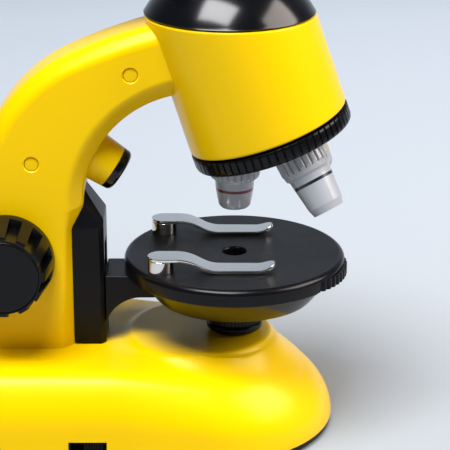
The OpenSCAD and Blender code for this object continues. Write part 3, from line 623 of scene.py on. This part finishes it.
def arm_parts():
    arm_half(-1)
    arm_half(1)
    plugs = Build()
    for x, z in PLUG_SPOTS:
        profile = rounded([(0, HALF_W - 0.4), (2.15, HALF_W - 0.4), (2.15, HALF_W - 1.5), (0, HALF_W - 1.5)], 0.3)
        lathe(plugs, profile, turned((x, 0, z), 90, "X"), 48)
    piece("arm_screw_covers", plugs, "root", "yellow", replaces=["arm_screw_plugs"])

    lamp_place = Matrix.Translation((-35.6, 0, 84)) @ Matrix.Rotation(math.radians(90 + 34), 4, "Y")
    stub = Build()
    profile = rounded([(5.4, -3.05), (7, -3.05), (8.1, -17.5), (5.4, -17.5)], 0.25, loop=True)
    lathe(stub, profile, lamp_place, 96, loop=True)
    piece("upper_lamp_stub", stub, "root", "yellow", replaces=["upper_lamp_housing"])
    bezel = Build()
    profile = rounded([(4.7, -3), (6.95, -3), (7.0, -2.8), (6.85, -0.9), (6.0, 0), (4.7, 0)],
                      [0.1, 0.1, 0.1, 0.5, 0.5, 0.3], loop=True)
    lathe(bezel, profile, lamp_place, 96, loop=True)
    piece("upper_lamp_ring", bezel, "root", "black_gloss", replaces=["upper_lamp_bezel"])


def rail_housing():
    low, high = box_of("rail_housing")
    front, half = high.x, high.y
    hip_z, side_top, crown_z, crown_x = 70.6, 68.3, 79.6, -46.75
    back = COLUMN_FRONT - 0.3
    rows = []
    for z in (low.z, 40, 50, 60, side_top - 0.4, side_top, side_top + 0.5, hip_z - 0.3, hip_z + 0.3, 73, 75, 77,
              crown_z):
        rise = max(0.0, (z - hip_z) / (crown_z - hip_z))
        x = front + (crown_x - front) * rise
        lean = max(0.0, (z - side_top) / (crown_z - side_top))
        wide = half - 1.9 * lean
        cut = 1.5 + 1.4 * lean
        rows.append([(min(px, x), py, z) for px, py in (
            (back, -wide), (x - cut, -wide), (x, cut - wide), (x, wide - cut), (x - cut, wide), (back, wide))])
    build = Build()
    build.loft(rows)
    slot = block((front - 2.4, front + 2), (-4.4, 4.4), (36.5, 61.4))
    piece("rail_cover", build, "root", "black_satin", replaces=["rail_housing"], cutters=[slot], bevel=0.22)


# ---------------------------------------------------------------- head and turret

TILT = math.acos(-JOINTS["nosepiece_turn"]["axis"][2])
APEX = spot_of("nosepiece_turn")
HEAD = spot_of("head_turn")
TURRET = Matrix.Translation(APEX) @ Matrix.Rotation(math.pi - TILT, 4, "Y")
SEAM_R = 26.3
DRUM_R = 25.4
DRUM_S = 30.77
RING_R = 25.5
RING_H = 4.9
SEAT_S = 37.85
FRONT_LENS_R = 3.25


def on_objective(k):
    return TURRET @ Matrix.Rotation(math.radians(120 * k), 4, "Z") @ Matrix.Rotation(TILT, 4, "Y")


def drum_ring(share, inset):
    """A ring on the drum's wall: share 0 is its tilted lower edge and 1 its level upper edge."""
    row = []
    for angle in turns(160):
        low = TURRET @ Vector((-(DRUM_R - inset) * math.cos(angle), (DRUM_R - inset) * math.sin(angle), DRUM_S))
        top = Vector((HEAD.x + (SEAM_R - inset) * math.cos(angle), (SEAM_R - inset) * math.sin(angle), HEAD.z))
        row.append(low.lerp(top, share))
    return row


def head_drum():
    build = Build()
    soft = 0.7
    rows = [drum_ring(0, 2.2), drum_ring(0, soft)]
    for i in range(1, 6):
        turn = math.radians(90 * i / 5)
        rows.append(drum_ring(0.022 * (1 - math.cos(turn)), soft * (1 - math.sin(turn))))
    rows += [drum_ring(i / 12, 0) for i in range(1, 12)]
    for i in range(6):
        turn = math.radians(90 * i / 5)
        rows.append(drum_ring(1 - 0.022 * (1 - math.sin(turn)), soft * (1 - math.cos(turn))))
    rows += [drum_ring(1, 2.2)] + [drum_ring(share, 2.2) for share in (0.75, 0.5, 0.25)]
    build.loft(rows, loop=True)
    piece("head_drum", build, "root", "yellow", replaces=["head_shell"])


def turret_ring():
    build = Build()
    ribs = 64
    low, high = DRUM_S + 0.8, DRUM_S + 0.8 + RING_H
    seat = lambda radius: (SEAT_S - radius * math.sin(TILT)) / math.cos(TILT)
    profile = [(2.6, low), (RING_R - 1.3, low), (RING_R - 1.2, low + 0.05), (RING_R - 0.12, low + 0.05),
               (RING_R, low + 0.2), (RING_R, low + 1.2), (RING_R, low + 2.4), (RING_R, high - 1.3),
               (RING_R - 0.15, high - 0.7), (RING_R - 0.5, high - 0.25), (RING_R - 1.0, high), (23.6, high),
               (23.2, high - 0.3), (23.2, seat(23.2)), (6.2, seat(6.2)), (6.0, 39.05), (2.6, 39.05)]

    def rib_wave(radius, height, angle):
        if radius < RING_R - 1.1 or height < low + 0.04 or height > high - 0.02:
            return radius
        return radius - 0.62 * (1 - off_rib(angle, ribs, 0.16) ** 3)

    lathe(build, profile, TURRET, ribs * 12, wave=rib_wave, loop=True)
    piece("nosepiece_ring", build, "nosepiece", "black_gloss", materials=[SMOOTH_BLACK], replaces=["turret_ring"])


def flutes(count, top, bottom, depth, least):
    """A wave that presses narrow V flutes into the wide part of an objective's head."""
    def wave(radius, height, angle):
        if radius < least or not top - 0.01 <= height <= bottom:
            return radius
        return radius - depth * (1 - off_rib(angle, count, 0.2))
    return wave


def objective(name, k, outline, flute_end, band, band_material, lens_s):
    """outline is (radius, distance) from the seat to the tip; band is where the colour ring starts and ends."""
    count = 22
    head_r = outline[0][0]
    tip_r, tip_s = outline[-1]
    points = rounded([(5.2, outline[0][1]), *outline], [0, 0.3] + [0.35] * (len(outline) - 2) + [0.3], steps=3)
    profile = []
    for point in points:
        for edge in band:
            if profile and profile[-1][1] < edge < point.y:
                share = (edge - profile[-1][1]) / (point.y - profile[-1][1])
                across = profile[-1][0] + (point.x - profile[-1][0]) * share
                profile.append((across, edge))
        profile.append((point.x, point.y))
    profile += [(tip_r - 0.9, tip_s), (tip_r - 1.1, tip_s - 0.25), (tip_r - 1.2, lens_s - 0.1), (3.3, lens_s - 0.1),
                (3.3, 36), (5.2, 36)]
    fine = []
    for one, two in zip(profile, profile[1:]):
        fine.append(one)
        if one[0] > head_r - 0.2 and two[0] > head_r - 0.2 and two[1] - one[1] > 1:
            fine += [(one[0], one[1] + 0.15), (one[0], two[1] - 0.4)]
    fine.append(profile[-1])
    marks = []
    for i, point in enumerate(fine):
        after = fine[(i + 1) % len(fine)]
        middle = (point[1] + after[1]) / 2
        marks.append(1 if band[0] < middle < band[1] and point[0] > 4.9 and after[0] > 4.9 else 0)
    build = Build()
    lathe(build, fine, on_objective(k), count * 12, wave=flutes(count, SEAT_S - 0.1, flute_end, 0.5, head_r - 0.75),
          marks=marks, loop=True)
    piece(name, build, "nosepiece", "grey_plastic", materials=[MATERIALS["grey_plastic"], band_material],
          replaces=[name.replace("_barrel", "")])


def lens_disc(build, place, radius, low, high, crown):
    profile = [(0.001, low), (radius, low), (radius, high - crown)]
    for i in range(1, 9):
        turn = math.pi / 2 * i / 8
        profile.append((max(0.001, radius * math.cos(turn)), high - crown + crown * math.sin(turn)))
    lathe(build, profile, place, 64)


def turret_parts():
    turret_ring()
    objective("objective_low_barrel", 0,
              [(7.95, SEAT_S), (7.95, 44.8), (7.2, 45.8), (6.3, 46.1), (6.2, 46.6), (6.05, 48.4), (5.8, 50.4),
               (5.55, 52), (5.0, 54.7), (4.3, 55.4)], 45.5, (48.75, 49.75), BAND_RED, 54)
    objective("objective_mid_barrel", 1,
              [(8, SEAT_S), (8, 45.5), (7.8, 45.9), (7.5, 47.6), (6.7, 48.1), (6.3, 52), (5.3, 57), (4.7, 57.5)],
              46, (50.4, 51.2), BAND_YELLOW, 56.1)
    objective("objective_high_barrel", -1,
              [(8, SEAT_S), (8, 45.5), (7.8, 45.9), (7.5, 47.6), (6.75, 48.1), (6.3, 52.4), (5.6, 58.6), (5.5, 58.8),
               (4.9, 60.8)], 46, (50.3, 51.25), BAND_NAVY, 59.4)
    lenses = Build()
    for k, tip in {0: 55.4, 1: 57.5, -1: 60.8}.items():
        lens_disc(lenses, on_objective(k), FRONT_LENS_R, tip - 2.2, tip - 0.75, 0.5)
    piece("objective_front_lenses", lenses, "nosepiece", "lens_glass", replaces=["objective_lenses"])


# ---------------------------------------------------------------- dome, tube and eyepiece

DOME_R = 29.9
DOME_BASE = HEAD.z + 0.3
DOME_MID = DOME_BASE - math.sqrt(DOME_R ** 2 - SEAM_R ** 2)
TUBE = Matrix.Translation((HEAD.x, 0, 141)) @ Matrix.Rotation(math.radians(-45), 4, "Y")
TUBE_R = 14.5
TUBE_END = 58
BORE_R = 11.65
TUBE_HEAD = TUBE_END + 0.3
EYE_TOP = TUBE_END + 14


def head_dome():
    """The dome with its inclined tube, which meets it in a soft hollow."""
    build = Build()
    start = math.degrees(math.acos(SEAM_R / DOME_R))
    middle = Vector((0, DOME_MID))
    cap = [on_arc(middle, DOME_R, start + 1.1 + (90 - start - 1.1) * i / 40) for i in range(41)]
    inner = [on_arc(middle, DOME_R - 2.2, 90 - (90 - 32) * i / 12) for i in range(13)]
    cap[-1].x = inner[0].x = 0.02
    profile = [(20, HEAD.z - 1), (20, DOME_BASE), (SEAM_R - 0.55, DOME_BASE), (SEAM_R - 0.25, DOME_BASE + 0.06),
               (SEAM_R - 0.08, DOME_BASE + 0.28)] + cap + inner + [(17.8, HEAD.z - 1)]
    lathe(build, profile, Matrix.Translation((HEAD.x, 0, 0)), 192, loop=True)
    count = 160
    centre = Vector((HEAD.x, 0, DOME_MID))
    along = (TUBE @ Vector((0, 0, 1)) - TUBE @ Vector((0, 0, 0))).normalized()
    rows = [[] for _ in range(22)]
    reach = 3.2
    for angle in turns(count):
        spoke = Vector((TUBE_R * math.cos(angle), TUBE_R * math.sin(angle), 0))
        base = TUBE @ spoke
        lift = base - centre
        half = lift.dot(along)
        meet = -half + math.sqrt(half * half - lift.dot(lift) + DOME_R ** 2)
        corner = base + along * meet
        normal = (corner - centre).normalized()
        side = (base - TUBE @ Vector((0, 0, 0))).normalized()
        flat = side - normal * side.dot(normal)
        if flat.length < 0.2:
            flat = -along - normal * (-along).dot(normal)
        flat = (flat.normalized() - along * 0.35).normalized()
        foot = centre + (corner + flat * reach - centre).normalized() * (DOME_R - 0.03)
        sunk = centre + (foot - centre + flat * 0.8).normalized() * (DOME_R - 0.8)
        rows[0].append(centre + (sunk - centre) * 0.93 + along * 0.5)
        rows[1].append(sunk)
        for i in range(10):
            rows[2 + i].append(curve(foot, corner, corner + along * reach, i / 9))
        for i in range(7):
            height = meet + reach + (TUBE_END - 0.6 - meet - reach) * (i + 1) / 8
            rows[12 + i].append(TUBE @ Vector((spoke.x, spoke.y, height)))
        for i, (radius, height) in enumerate(((TUBE_R, TUBE_END - 0.5), (TUBE_R - 0.15, TUBE_END - 0.15),
                                              (TUBE_R - 0.5, TUBE_END))):
            scale = radius / TUBE_R
            rows[19 + i].append(TUBE @ Vector((spoke.x * scale, spoke.y * scale, height)))
    tube = Build()
    bore = [[TUBE @ Vector((BORE_R * math.cos(a), BORE_R * math.sin(a), height)) for a in turns(count)]
            for height in (TUBE_END, 40, 16)]
    tube.loft(rows + bore, loop=True)
    opening = Build()
    lathe(opening, [(BORE_R - 0.4, 2), (BORE_R - 0.4, 40)], TUBE, 96)
    piece("dome_cap", build, "head", "black_gloss", replaces=["head_dome"], cutters=[opening])
    piece("inclined_tube", tube, "head", "black_gloss")


def eyepiece_parts():
    build = Build()
    ribs = 40
    profile = rounded([(9.6, 26), (11.2, 26), (11.6, 26.6), (11.6, TUBE_HEAD), (14.2, TUBE_HEAD),
                       (14.8, TUBE_HEAD + 0.8), (14.8, TUBE_HEAD + 2.2), (14.4, TUBE_HEAD + 2.6),
                       (14.4, EYE_TOP - 2.4), (14.8, EYE_TOP - 2), (14.8, EYE_TOP - 0.5), (14.3, EYE_TOP),
                       (9.6, EYE_TOP)], 0.3, loop=True)

    def grip(radius, height, angle):
        if TUBE_HEAD + 2.9 < height < EYE_TOP - 2.7 and radius > 14:
            return radius - 0.35 * (0.5 + 0.5 * math.cos(ribs * angle)) ** 3
        return radius

    fine = []
    for one, two in zip(profile, profile[1:] + profile[:1]):
        fine.append((one.x, one.y))
        if one.x > 14 and two.x > 14 and abs(two.y - one.y) > 5:
            low, high = TUBE_HEAD + 2.9, EYE_TOP - 2.7
            fine += [(one.x, low + 0.02), (one.x, low + 0.6), (one.x, high - 0.6), (one.x, high - 0.02)]
    lathe(build, fine, TUBE, ribs * 8, wave=grip, loop=True)
    piece("eyepiece_tube", build, "eyepiece", "black_satin", replaces=["eyepiece_barrel"])

    cup = Build()
    top = EYE_TOP + 7
    profile = rounded([(9.6, EYE_TOP), (14.6, EYE_TOP), (14.6, EYE_TOP + 1.2), (14.1, EYE_TOP + 1.8),
                       (14.2, EYE_TOP + 4), (14.6, top - 1), (13.9, top), (12.6, top), (12.2, EYE_TOP + 4),
                       (11, EYE_TOP + 1.6), (9.6, EYE_TOP + 1.5)], 0.7, steps=4, loop=True)
    lathe(cup, profile, TUBE, 128, loop=True)
    piece("rubber_eyecup", cup, "eyepiece", "rubber", replaces=["eyecup"])

    lens = Build()
    lens_disc(lens, TUBE, 9.55, EYE_TOP - 2.4, EYE_TOP + 0.6, 0.9)
    piece("eye_lens_glass", lens, "eyepiece", "lens_glass", replaces=["eye_lens"])


# ---------------------------------------------------------------- stage

RIM_Z = STAGE_LOW.z / MM
STAGE_R = STAGE_HIGH.y / MM
DISH_Z = box_of("stage_dish")[0].z
WHEEL = spot_of("filter_turn")
WHEEL_LOW, WHEEL_HIGH = box_of("filter_wheel")


def stage_plate():
    build = Build()
    fillet = 1.8
    web = STAGE_Z - 1.6
    side = [(3.7, web), (30, web), (30, RIM_Z), (STAGE_R - 0.9, RIM_Z), (STAGE_R - 0.35, RIM_Z + 0.2),
            (STAGE_R, RIM_Z + 0.8)]
    shoulder = [on_arc(Vector((STAGE_R - fillet, STAGE_Z - fillet)), fillet, 9 * i) for i in range(11)]
    top = [(20, STAGE_Z), (4.4, STAGE_Z), (4.0, STAGE_Z - 0.1), (3.7, STAGE_Z - 0.5)]
    marks = [0] * (len(side) + len(shoulder) - 1) + [1, 1, 1, 0, 0]
    lathe(build, side + shoulder + top, count=256, marks=marks, loop=True)
    slot, slot_r = Build(), WHEEL_HIGH.y - WHEEL.y + 0.4
    lathe(slot, [(slot_r, RIM_Z - 1), (slot_r, web + 0.02)], Matrix.Translation((WHEEL.x, WHEEL.y, 0)), 128)
    piece("stage_top", build, "stage", "stage_black", materials=[SMOOTH_BLACK, MATERIALS["stage_black"]],
          replaces=["stage_plate"], cutters=[slot])


def stage_dish():
    build = Build()
    rim, belly, foot = Vector((31.2, RIM_Z)), Vector((27.7, RIM_Z - 5.7)), Vector((25.2, DISH_Z))
    outer = [curve(rim, belly, foot, i / 24) for i in range(25)]
    hole = [(13.4, DISH_Z), (12.9, DISH_Z + 0.2), (12.8, DISH_Z + 0.7), (12.8, DISH_Z + 2.2)]
    inner = []
    for i in range(10, -1, -1):
        unit = on_arc(Vector((0, 0)), 1, 9 * i)
        inner.append((22.3 + 6 * unit.x, RIM_Z - (RIM_Z - DISH_Z - 2.2) * unit.y))
    profile = outer + hole + inner
    lathe(build, profile, count=224, loop=True)
    piece("stage_bowl", build, "stage", "black_gloss", replaces=["stage_dish"])


def stage_bracket():
    half = box_of("stage_bracket")[1].y
    back, end = -40.85, -25
    middle, radius = Vector((-29.3, 32.6)), 12
    arc = [on_arc(middle, radius, 90 + 5 * i) for i in range(1, 14)]
    build = Build()
    side_outline(build, [(back, RIM_Z), (end, RIM_Z), (end, middle.y + radius), *arc, (back, 36.2)], half)
    neck = box_of("stage_carriage")[1].x
    build.loft([[(x, y, z) for y, z in ((-4, 43), (4, 43), (4, RIM_Z), (-4, RIM_Z))] for x in (neck, back + 1)])
    piece("bracket_web", build, "stage", "black_satin", replaces=["stage_bracket"], bevel=0.35)


def filter_wheel():
    build = Build()
    ribs = 60
    low, high, radius = WHEEL_LOW.z, WHEEL_HIGH.z, WHEEL_HIGH.y - WHEEL.y
    profile = rounded([(2.1, low), (radius, low), (radius, high), (2.1, high)], 0.3, loop=True)

    def knurl(r, height, angle):
        if r < radius - 0.5:
            return r
        return r - 0.55 * (1 - off_rib(angle, ribs, 0.3) ** 2)

    lathe(build, profile, Matrix.Translation((WHEEL.x, WHEEL.y, 0)), ribs * 8, wave=knurl, loop=True)
    bearing = math.atan2(WHEEL.y, WHEEL.x)
    out = math.hypot(WHEEL.x, WHEEL.y)
    holes = []
    for k in range(6):
        turn = bearing + math.pi + 2 * math.pi * k / 6
        spot = (WHEEL.x + out * math.cos(turn), WHEEL.y + out * math.sin(turn), 0)
        hole = Build()
        lathe(hole, [(4, low - 1), (4, high + 1)], Matrix.Translation(spot), 48)
        holes.append(hole)
    piece("filter_wheel_disc", build, "filters", "black_satin", replaces=["filter_wheel"], cutters=holes)


# ---------------------------------------------------------------- clips

def clip_parts(side):
    word = "right" if side < 0 else "left"
    pivot = spot_of(f"{word}_clip_swing")
    post_low, post_high = box_of(f"clip_post_{word}")
    post_r = post_high.x - pivot.x
    top = post_high.z
    low = STAGE_Z + 0.3
    post = Build()
    profile = rounded([(0.01, top), (post_r, top), (post_r, STAGE_Z), (1.9, STAGE_Z), (1.9, post_low.z),
                       (0.01, post_low.z)], 0.3)
    lathe(post, profile, Matrix.Translation((pivot.x, pivot.y, 0)), 96)
    piece(f"clip_{word}_stud", post, f"{word}_clip", "clip_metal", replaces=[f"clip_post_{word}"])

    tip_x, tip_half, round_x = 12.75, 3.5, 9.4
    line = rounded([(pivot.x - post_r, top), (-15.0, top), (-7.6, low), (8.8, low), (tip_x, low + 1.75)],
                   [0, 3.0, 3.0, 3.0, 0], steps=10)
    stations = []
    for i in range(len(line) - 1):
        one, two = line[i], line[i + 1]
        steps = max(1, round((two - one).length / 0.9))
        stations += [one.lerp(two, j / steps) for j in range(steps)]
    stations.append(line[-1])
    gaps = (0.02, 0.08, 0.18, 0.35, 0.6)
    for x in [pivot.x - post_r + gap for gap in gaps] + [tip_x - gap for gap in gaps]:
        for i in range(len(stations) - 1):
            if stations[i].x < x < stations[i + 1].x:
                share = (x - stations[i].x) / (stations[i + 1].x - stations[i].x)
                stations.insert(i + 1, stations[i].lerp(stations[i + 1], share))
                break
    build = Build()
    rows = []
    thick, edge = 1.0, 0.22
    for i, spot in enumerate(stations):
        ahead = (stations[min(i + 1, len(stations) - 1)] - stations[max(i - 1, 0)]).normalized()
        up = Vector((-ahead.y, ahead.x))
        if spot.x < pivot.x:
            wide = math.sqrt(max(0.0, post_r ** 2 - (pivot.x - spot.x) ** 2))
        elif spot.x < round_x:
            wide = post_r + (tip_half - post_r) * (spot.x - pivot.x) / (round_x - pivot.x)
        else:
            wide = tip_half * math.sqrt(max(0.0, 1 - ((spot.x - round_x) / (tip_x - round_x)) ** 2))
        wide = max(wide, 0.05)
        lip = min(edge, wide * 0.5)
        ring = [(-wide, edge), (-wide, thick - edge), (-wide + lip * 0.3, thick - edge * 0.3), (-wide + lip, thick),
                (wide - lip, thick), (wide - lip * 0.3, thick - edge * 0.3), (wide, thick - edge), (wide, edge),
                (wide - lip * 0.3, edge * 0.3), (wide - lip, 0), (-wide + lip, 0), (-wide + lip * 0.3, edge * 0.3)]
        rows.append([(spot.x + up.x * h, pivot.y + y, spot.y + up.y * h) for y, h in ring])
    build.loft(rows)
    piece(f"clip_{word}_spring", build, f"{word}_clip", "clip_metal", replaces=[f"clip_strap_{word}"])


# ---------------------------------------------------------------- focus knobs

SHAFT = spot_of("focus_turn")
KNOB_LOW, KNOB_HIGH = box_of("focus_knob_left")


def knob(side):
    word = "right" if side < 0 else "left"
    depth = KNOB_HIGH.y - KNOB_LOW.y
    back_r = KNOB_HIGH.z - SHAFT.z
    front_r, cap_r, floor_r, grooves = 13.1, 11.4, 12.05, 12
    place = Matrix.Translation((SHAFT.x, side * KNOB_LOW.y, SHAFT.z)) @ Matrix.Rotation(-side * math.pi / 2, 4, "X")
    half_groove = math.radians(8.0)
    wall = math.radians(0.35)
    angles = []
    for k in range(grooves):
        middle = 2 * math.pi * (k + 0.5) / grooves
        start = 2 * math.pi * k / grooves
        end = 2 * math.pi * (k + 1) / grooves
        angles += [start + (middle - half_groove - start) * i / 4 for i in range(5)]
        angles += [middle - half_groove + wall + (2 * half_groove - 2 * wall) * i / 5 for i in range(6)]
        angles += [middle + half_groove + (end - middle - half_groove) * i / 4 for i in range(4)]

    def grip(radius, height, angle):
        phase = (angle * grooves / (2 * math.pi)) % 1
        inside = abs(phase - 0.5) * 2 * math.pi / grooves < half_groove - wall / 2
        return min(radius, floor_r) if inside and height > 3.3 else radius

    slope = lambda z: back_r + (front_r - back_r) * (z - 1.8) / (depth - 2.3)
    profile = [(2.0, 0.0), (back_r - 0.6, 0.0), (back_r - 0.15, 0.15), (back_r, 0.6), (back_r, 1.8)]
    profile += [(slope(z), z) for z in (3.3, 3.55, 6, 9, 12)]
    profile += [(front_r, depth - 0.45), (front_r - 0.15, depth - 0.12), (front_r - 0.5, depth), (cap_r + 0.25, depth),
                (cap_r + 0.05, depth - 0.15), (cap_r + 0.05, depth - 1.4), (2.0, depth - 1.4)]
    build = Build()
    lathe(build, profile, place, wave=grip, loop=True, angles=angles)
    piece(f"focus_knob_{word}_grip", build, "focus_drive", "black_gloss", materials=[SMOOTH_BLACK],
          replaces=[f"focus_knob_{word}"])
    cap = Build()
    crown = [(0.01, depth + 0.4)] + [(cap_r * 0.9 * i / 8, depth + 0.4 - 0.25 * (i / 8) ** 2) for i in range(1, 9)]
    outline = crown + rounded([(cap_r * 0.95, depth + 0.12), (cap_r - 0.02, depth), (cap_r - 0.02, depth - 1.38)], 0.3)
    outline += [(0.01, depth - 1.38)]
    lathe(cap, outline, place, 128)
    piece(f"focus_knob_{word}_cap", cap, "focus_drive", "black_gloss", materials=[SMOOTH_BLACK],
          replaces=["focus_knob_caps"])


# ---------------------------------------------------------------- what stays from the frame

def soften_frame_nodes():
    """Small rounded edges on the plain machined and moulded parts that keep their frame shape."""
    for name, width in {"base_cover": 0.25, "battery_door": 0.2, "base_screws": 0.12, "battery_door_screw": 0.12,
                        "switch_housing": 0.15, "batteries": 0.4, "stage_carriage": 0.2, "head_base_plate": 0.2,
                        "mirror_holder": 0.2, "circuit_board": 0.1, "stage_screws": 0.12, "arm_screws": 0.12}.items():
        cad = frame["nodes"][name]
        weld = cad.modifiers.new("weld", "WELD")
        weld.merge_threshold = 1e-6
        round_edges(cad, width, SHARP_TURN)


# ---------------------------------------------------------------- camera, light and floor

def camera():
    """The picture's view: level with the head, looking down by 20 degrees, from just over half a metre."""
    data = bpy.data.cameras.new("camera")
    data.lens = 144
    data.sensor_width = 36
    data.clip_start, data.clip_end = 0.01, 20
    made = bpy.data.objects.new("camera", data)
    made.location = (AXIS_X - 3.02 * MM, -535.65 * MM, 261.17 * MM)
    made.rotation_euler = (math.radians(70), 0, 0)
    bpy.context.scene.collection.objects.link(made)
    bpy.context.scene.camera = made


def panel(name, azimuth, elevation, distance, size, watts, colour):
    """A softbox that faces the microscope. Azimuth 0 is on the camera's side and 90 on its right."""
    data = bpy.data.lights.new(name, "AREA")
    data.shape = "RECTANGLE"
    data.size, data.size_y = size
    data.energy = watts
    data.color = colour
    made = bpy.data.objects.new(name, data)
    turn, rise = math.radians(azimuth), math.radians(elevation)
    target = Vector((AXIS_X, 0, 90 * MM))
    away = Vector((math.sin(turn) * math.cos(rise), -math.cos(turn) * math.cos(rise), math.sin(rise)))
    made.location = target + away * distance
    made.rotation_euler = (-away).to_track_quat("-Z", "Y").to_euler()
    bpy.context.scene.collection.objects.link(made)


def paper_painted_lighter_behind():
    """Pale paper, painted lighter and bluer towards the back: painted light across the sweep."""
    paper = finish_material("pale_paper", (0.45, 0.50, 0.56), 0.85, shade=0.01, patch=0.5, bump=0.02, specular=0.2)
    tree = paper.node_tree
    # painted light: the paper's colour brightens and turns bluer towards the back, standing in for how the lamps light
    # the sweep
    painted_falloff = node_of(tree, "ShaderNodeMapRange")
    set_inputs(painted_falloff, {"From Min": -0.02, "From Max": 0.55})
    tree.links.new(place_along(tree, "Y"), painted_falloff.inputs["Value"])
    two_tone(tree, painted_falloff.outputs["Result"], ((0.34, 0.372, 0.40), (0.56, 0.64, 0.73)))
    return paper


def studio():
    world = bpy.data.worlds.new("studio")
    bpy.context.scene.world = world
    world.use_nodes = True
    set_inputs(world.node_tree.nodes["Background"], {"Color": (0.85, 0.76, 0.68, 1), "Strength": 0.1})
    panel("key_softbox", -30, 66, 0.9, (0.55, 0.4), 15, (0.98, 0.98, 1.0))
    panel("right_panel", 85, 36, 1.0, (0.7, 0.6), 12, (1.0, 0.9, 0.84))

    build = bmesh.new()
    half, back_y, front_y, bend, top = 3.0, 1.2, -2.5, 0.6, 2.5
    line = [(front_y, 0.0), (back_y - bend, 0.0)]
    line += [on_arc(Vector((back_y - bend, bend)), bend, 10 * i - 90) for i in range(1, 10)]
    line.append((back_y, top))
    rows = [[build.verts.new((x, y, z)) for y, z in line] for x in (-half, half)]
    for i in range(len(line) - 1):
        build.faces.new((rows[0][i], rows[1][i], rows[1][i + 1], rows[0][i + 1]))
    mesh = bpy.data.meshes.new("sweep")
    build.to_mesh(mesh)
    build.free()
    for polygon in mesh.polygons:
        polygon.use_smooth = True
    floor = bpy.data.objects.new("sweep", mesh)
    bpy.context.scene.collection.objects.link(floor)
    # the sweep's colour carries painted light, lighter towards the back
    mesh.materials.append(paper_painted_lighter_behind())
    bpy.context.scene.view_settings.view_transform = "Standard"


camera()
studio()
base_parts()
switch_parts()
arm_parts()
rail_housing()
head_drum()
turret_parts()
head_dome()
eyepiece_parts()
stage_plate()
stage_dish()
stage_bracket()
filter_wheel()
for clip_side in (-1, 1):
    clip_parts(clip_side)
for knob_side in (-1, 1):
    knob(knob_side)
soften_frame_nodes()
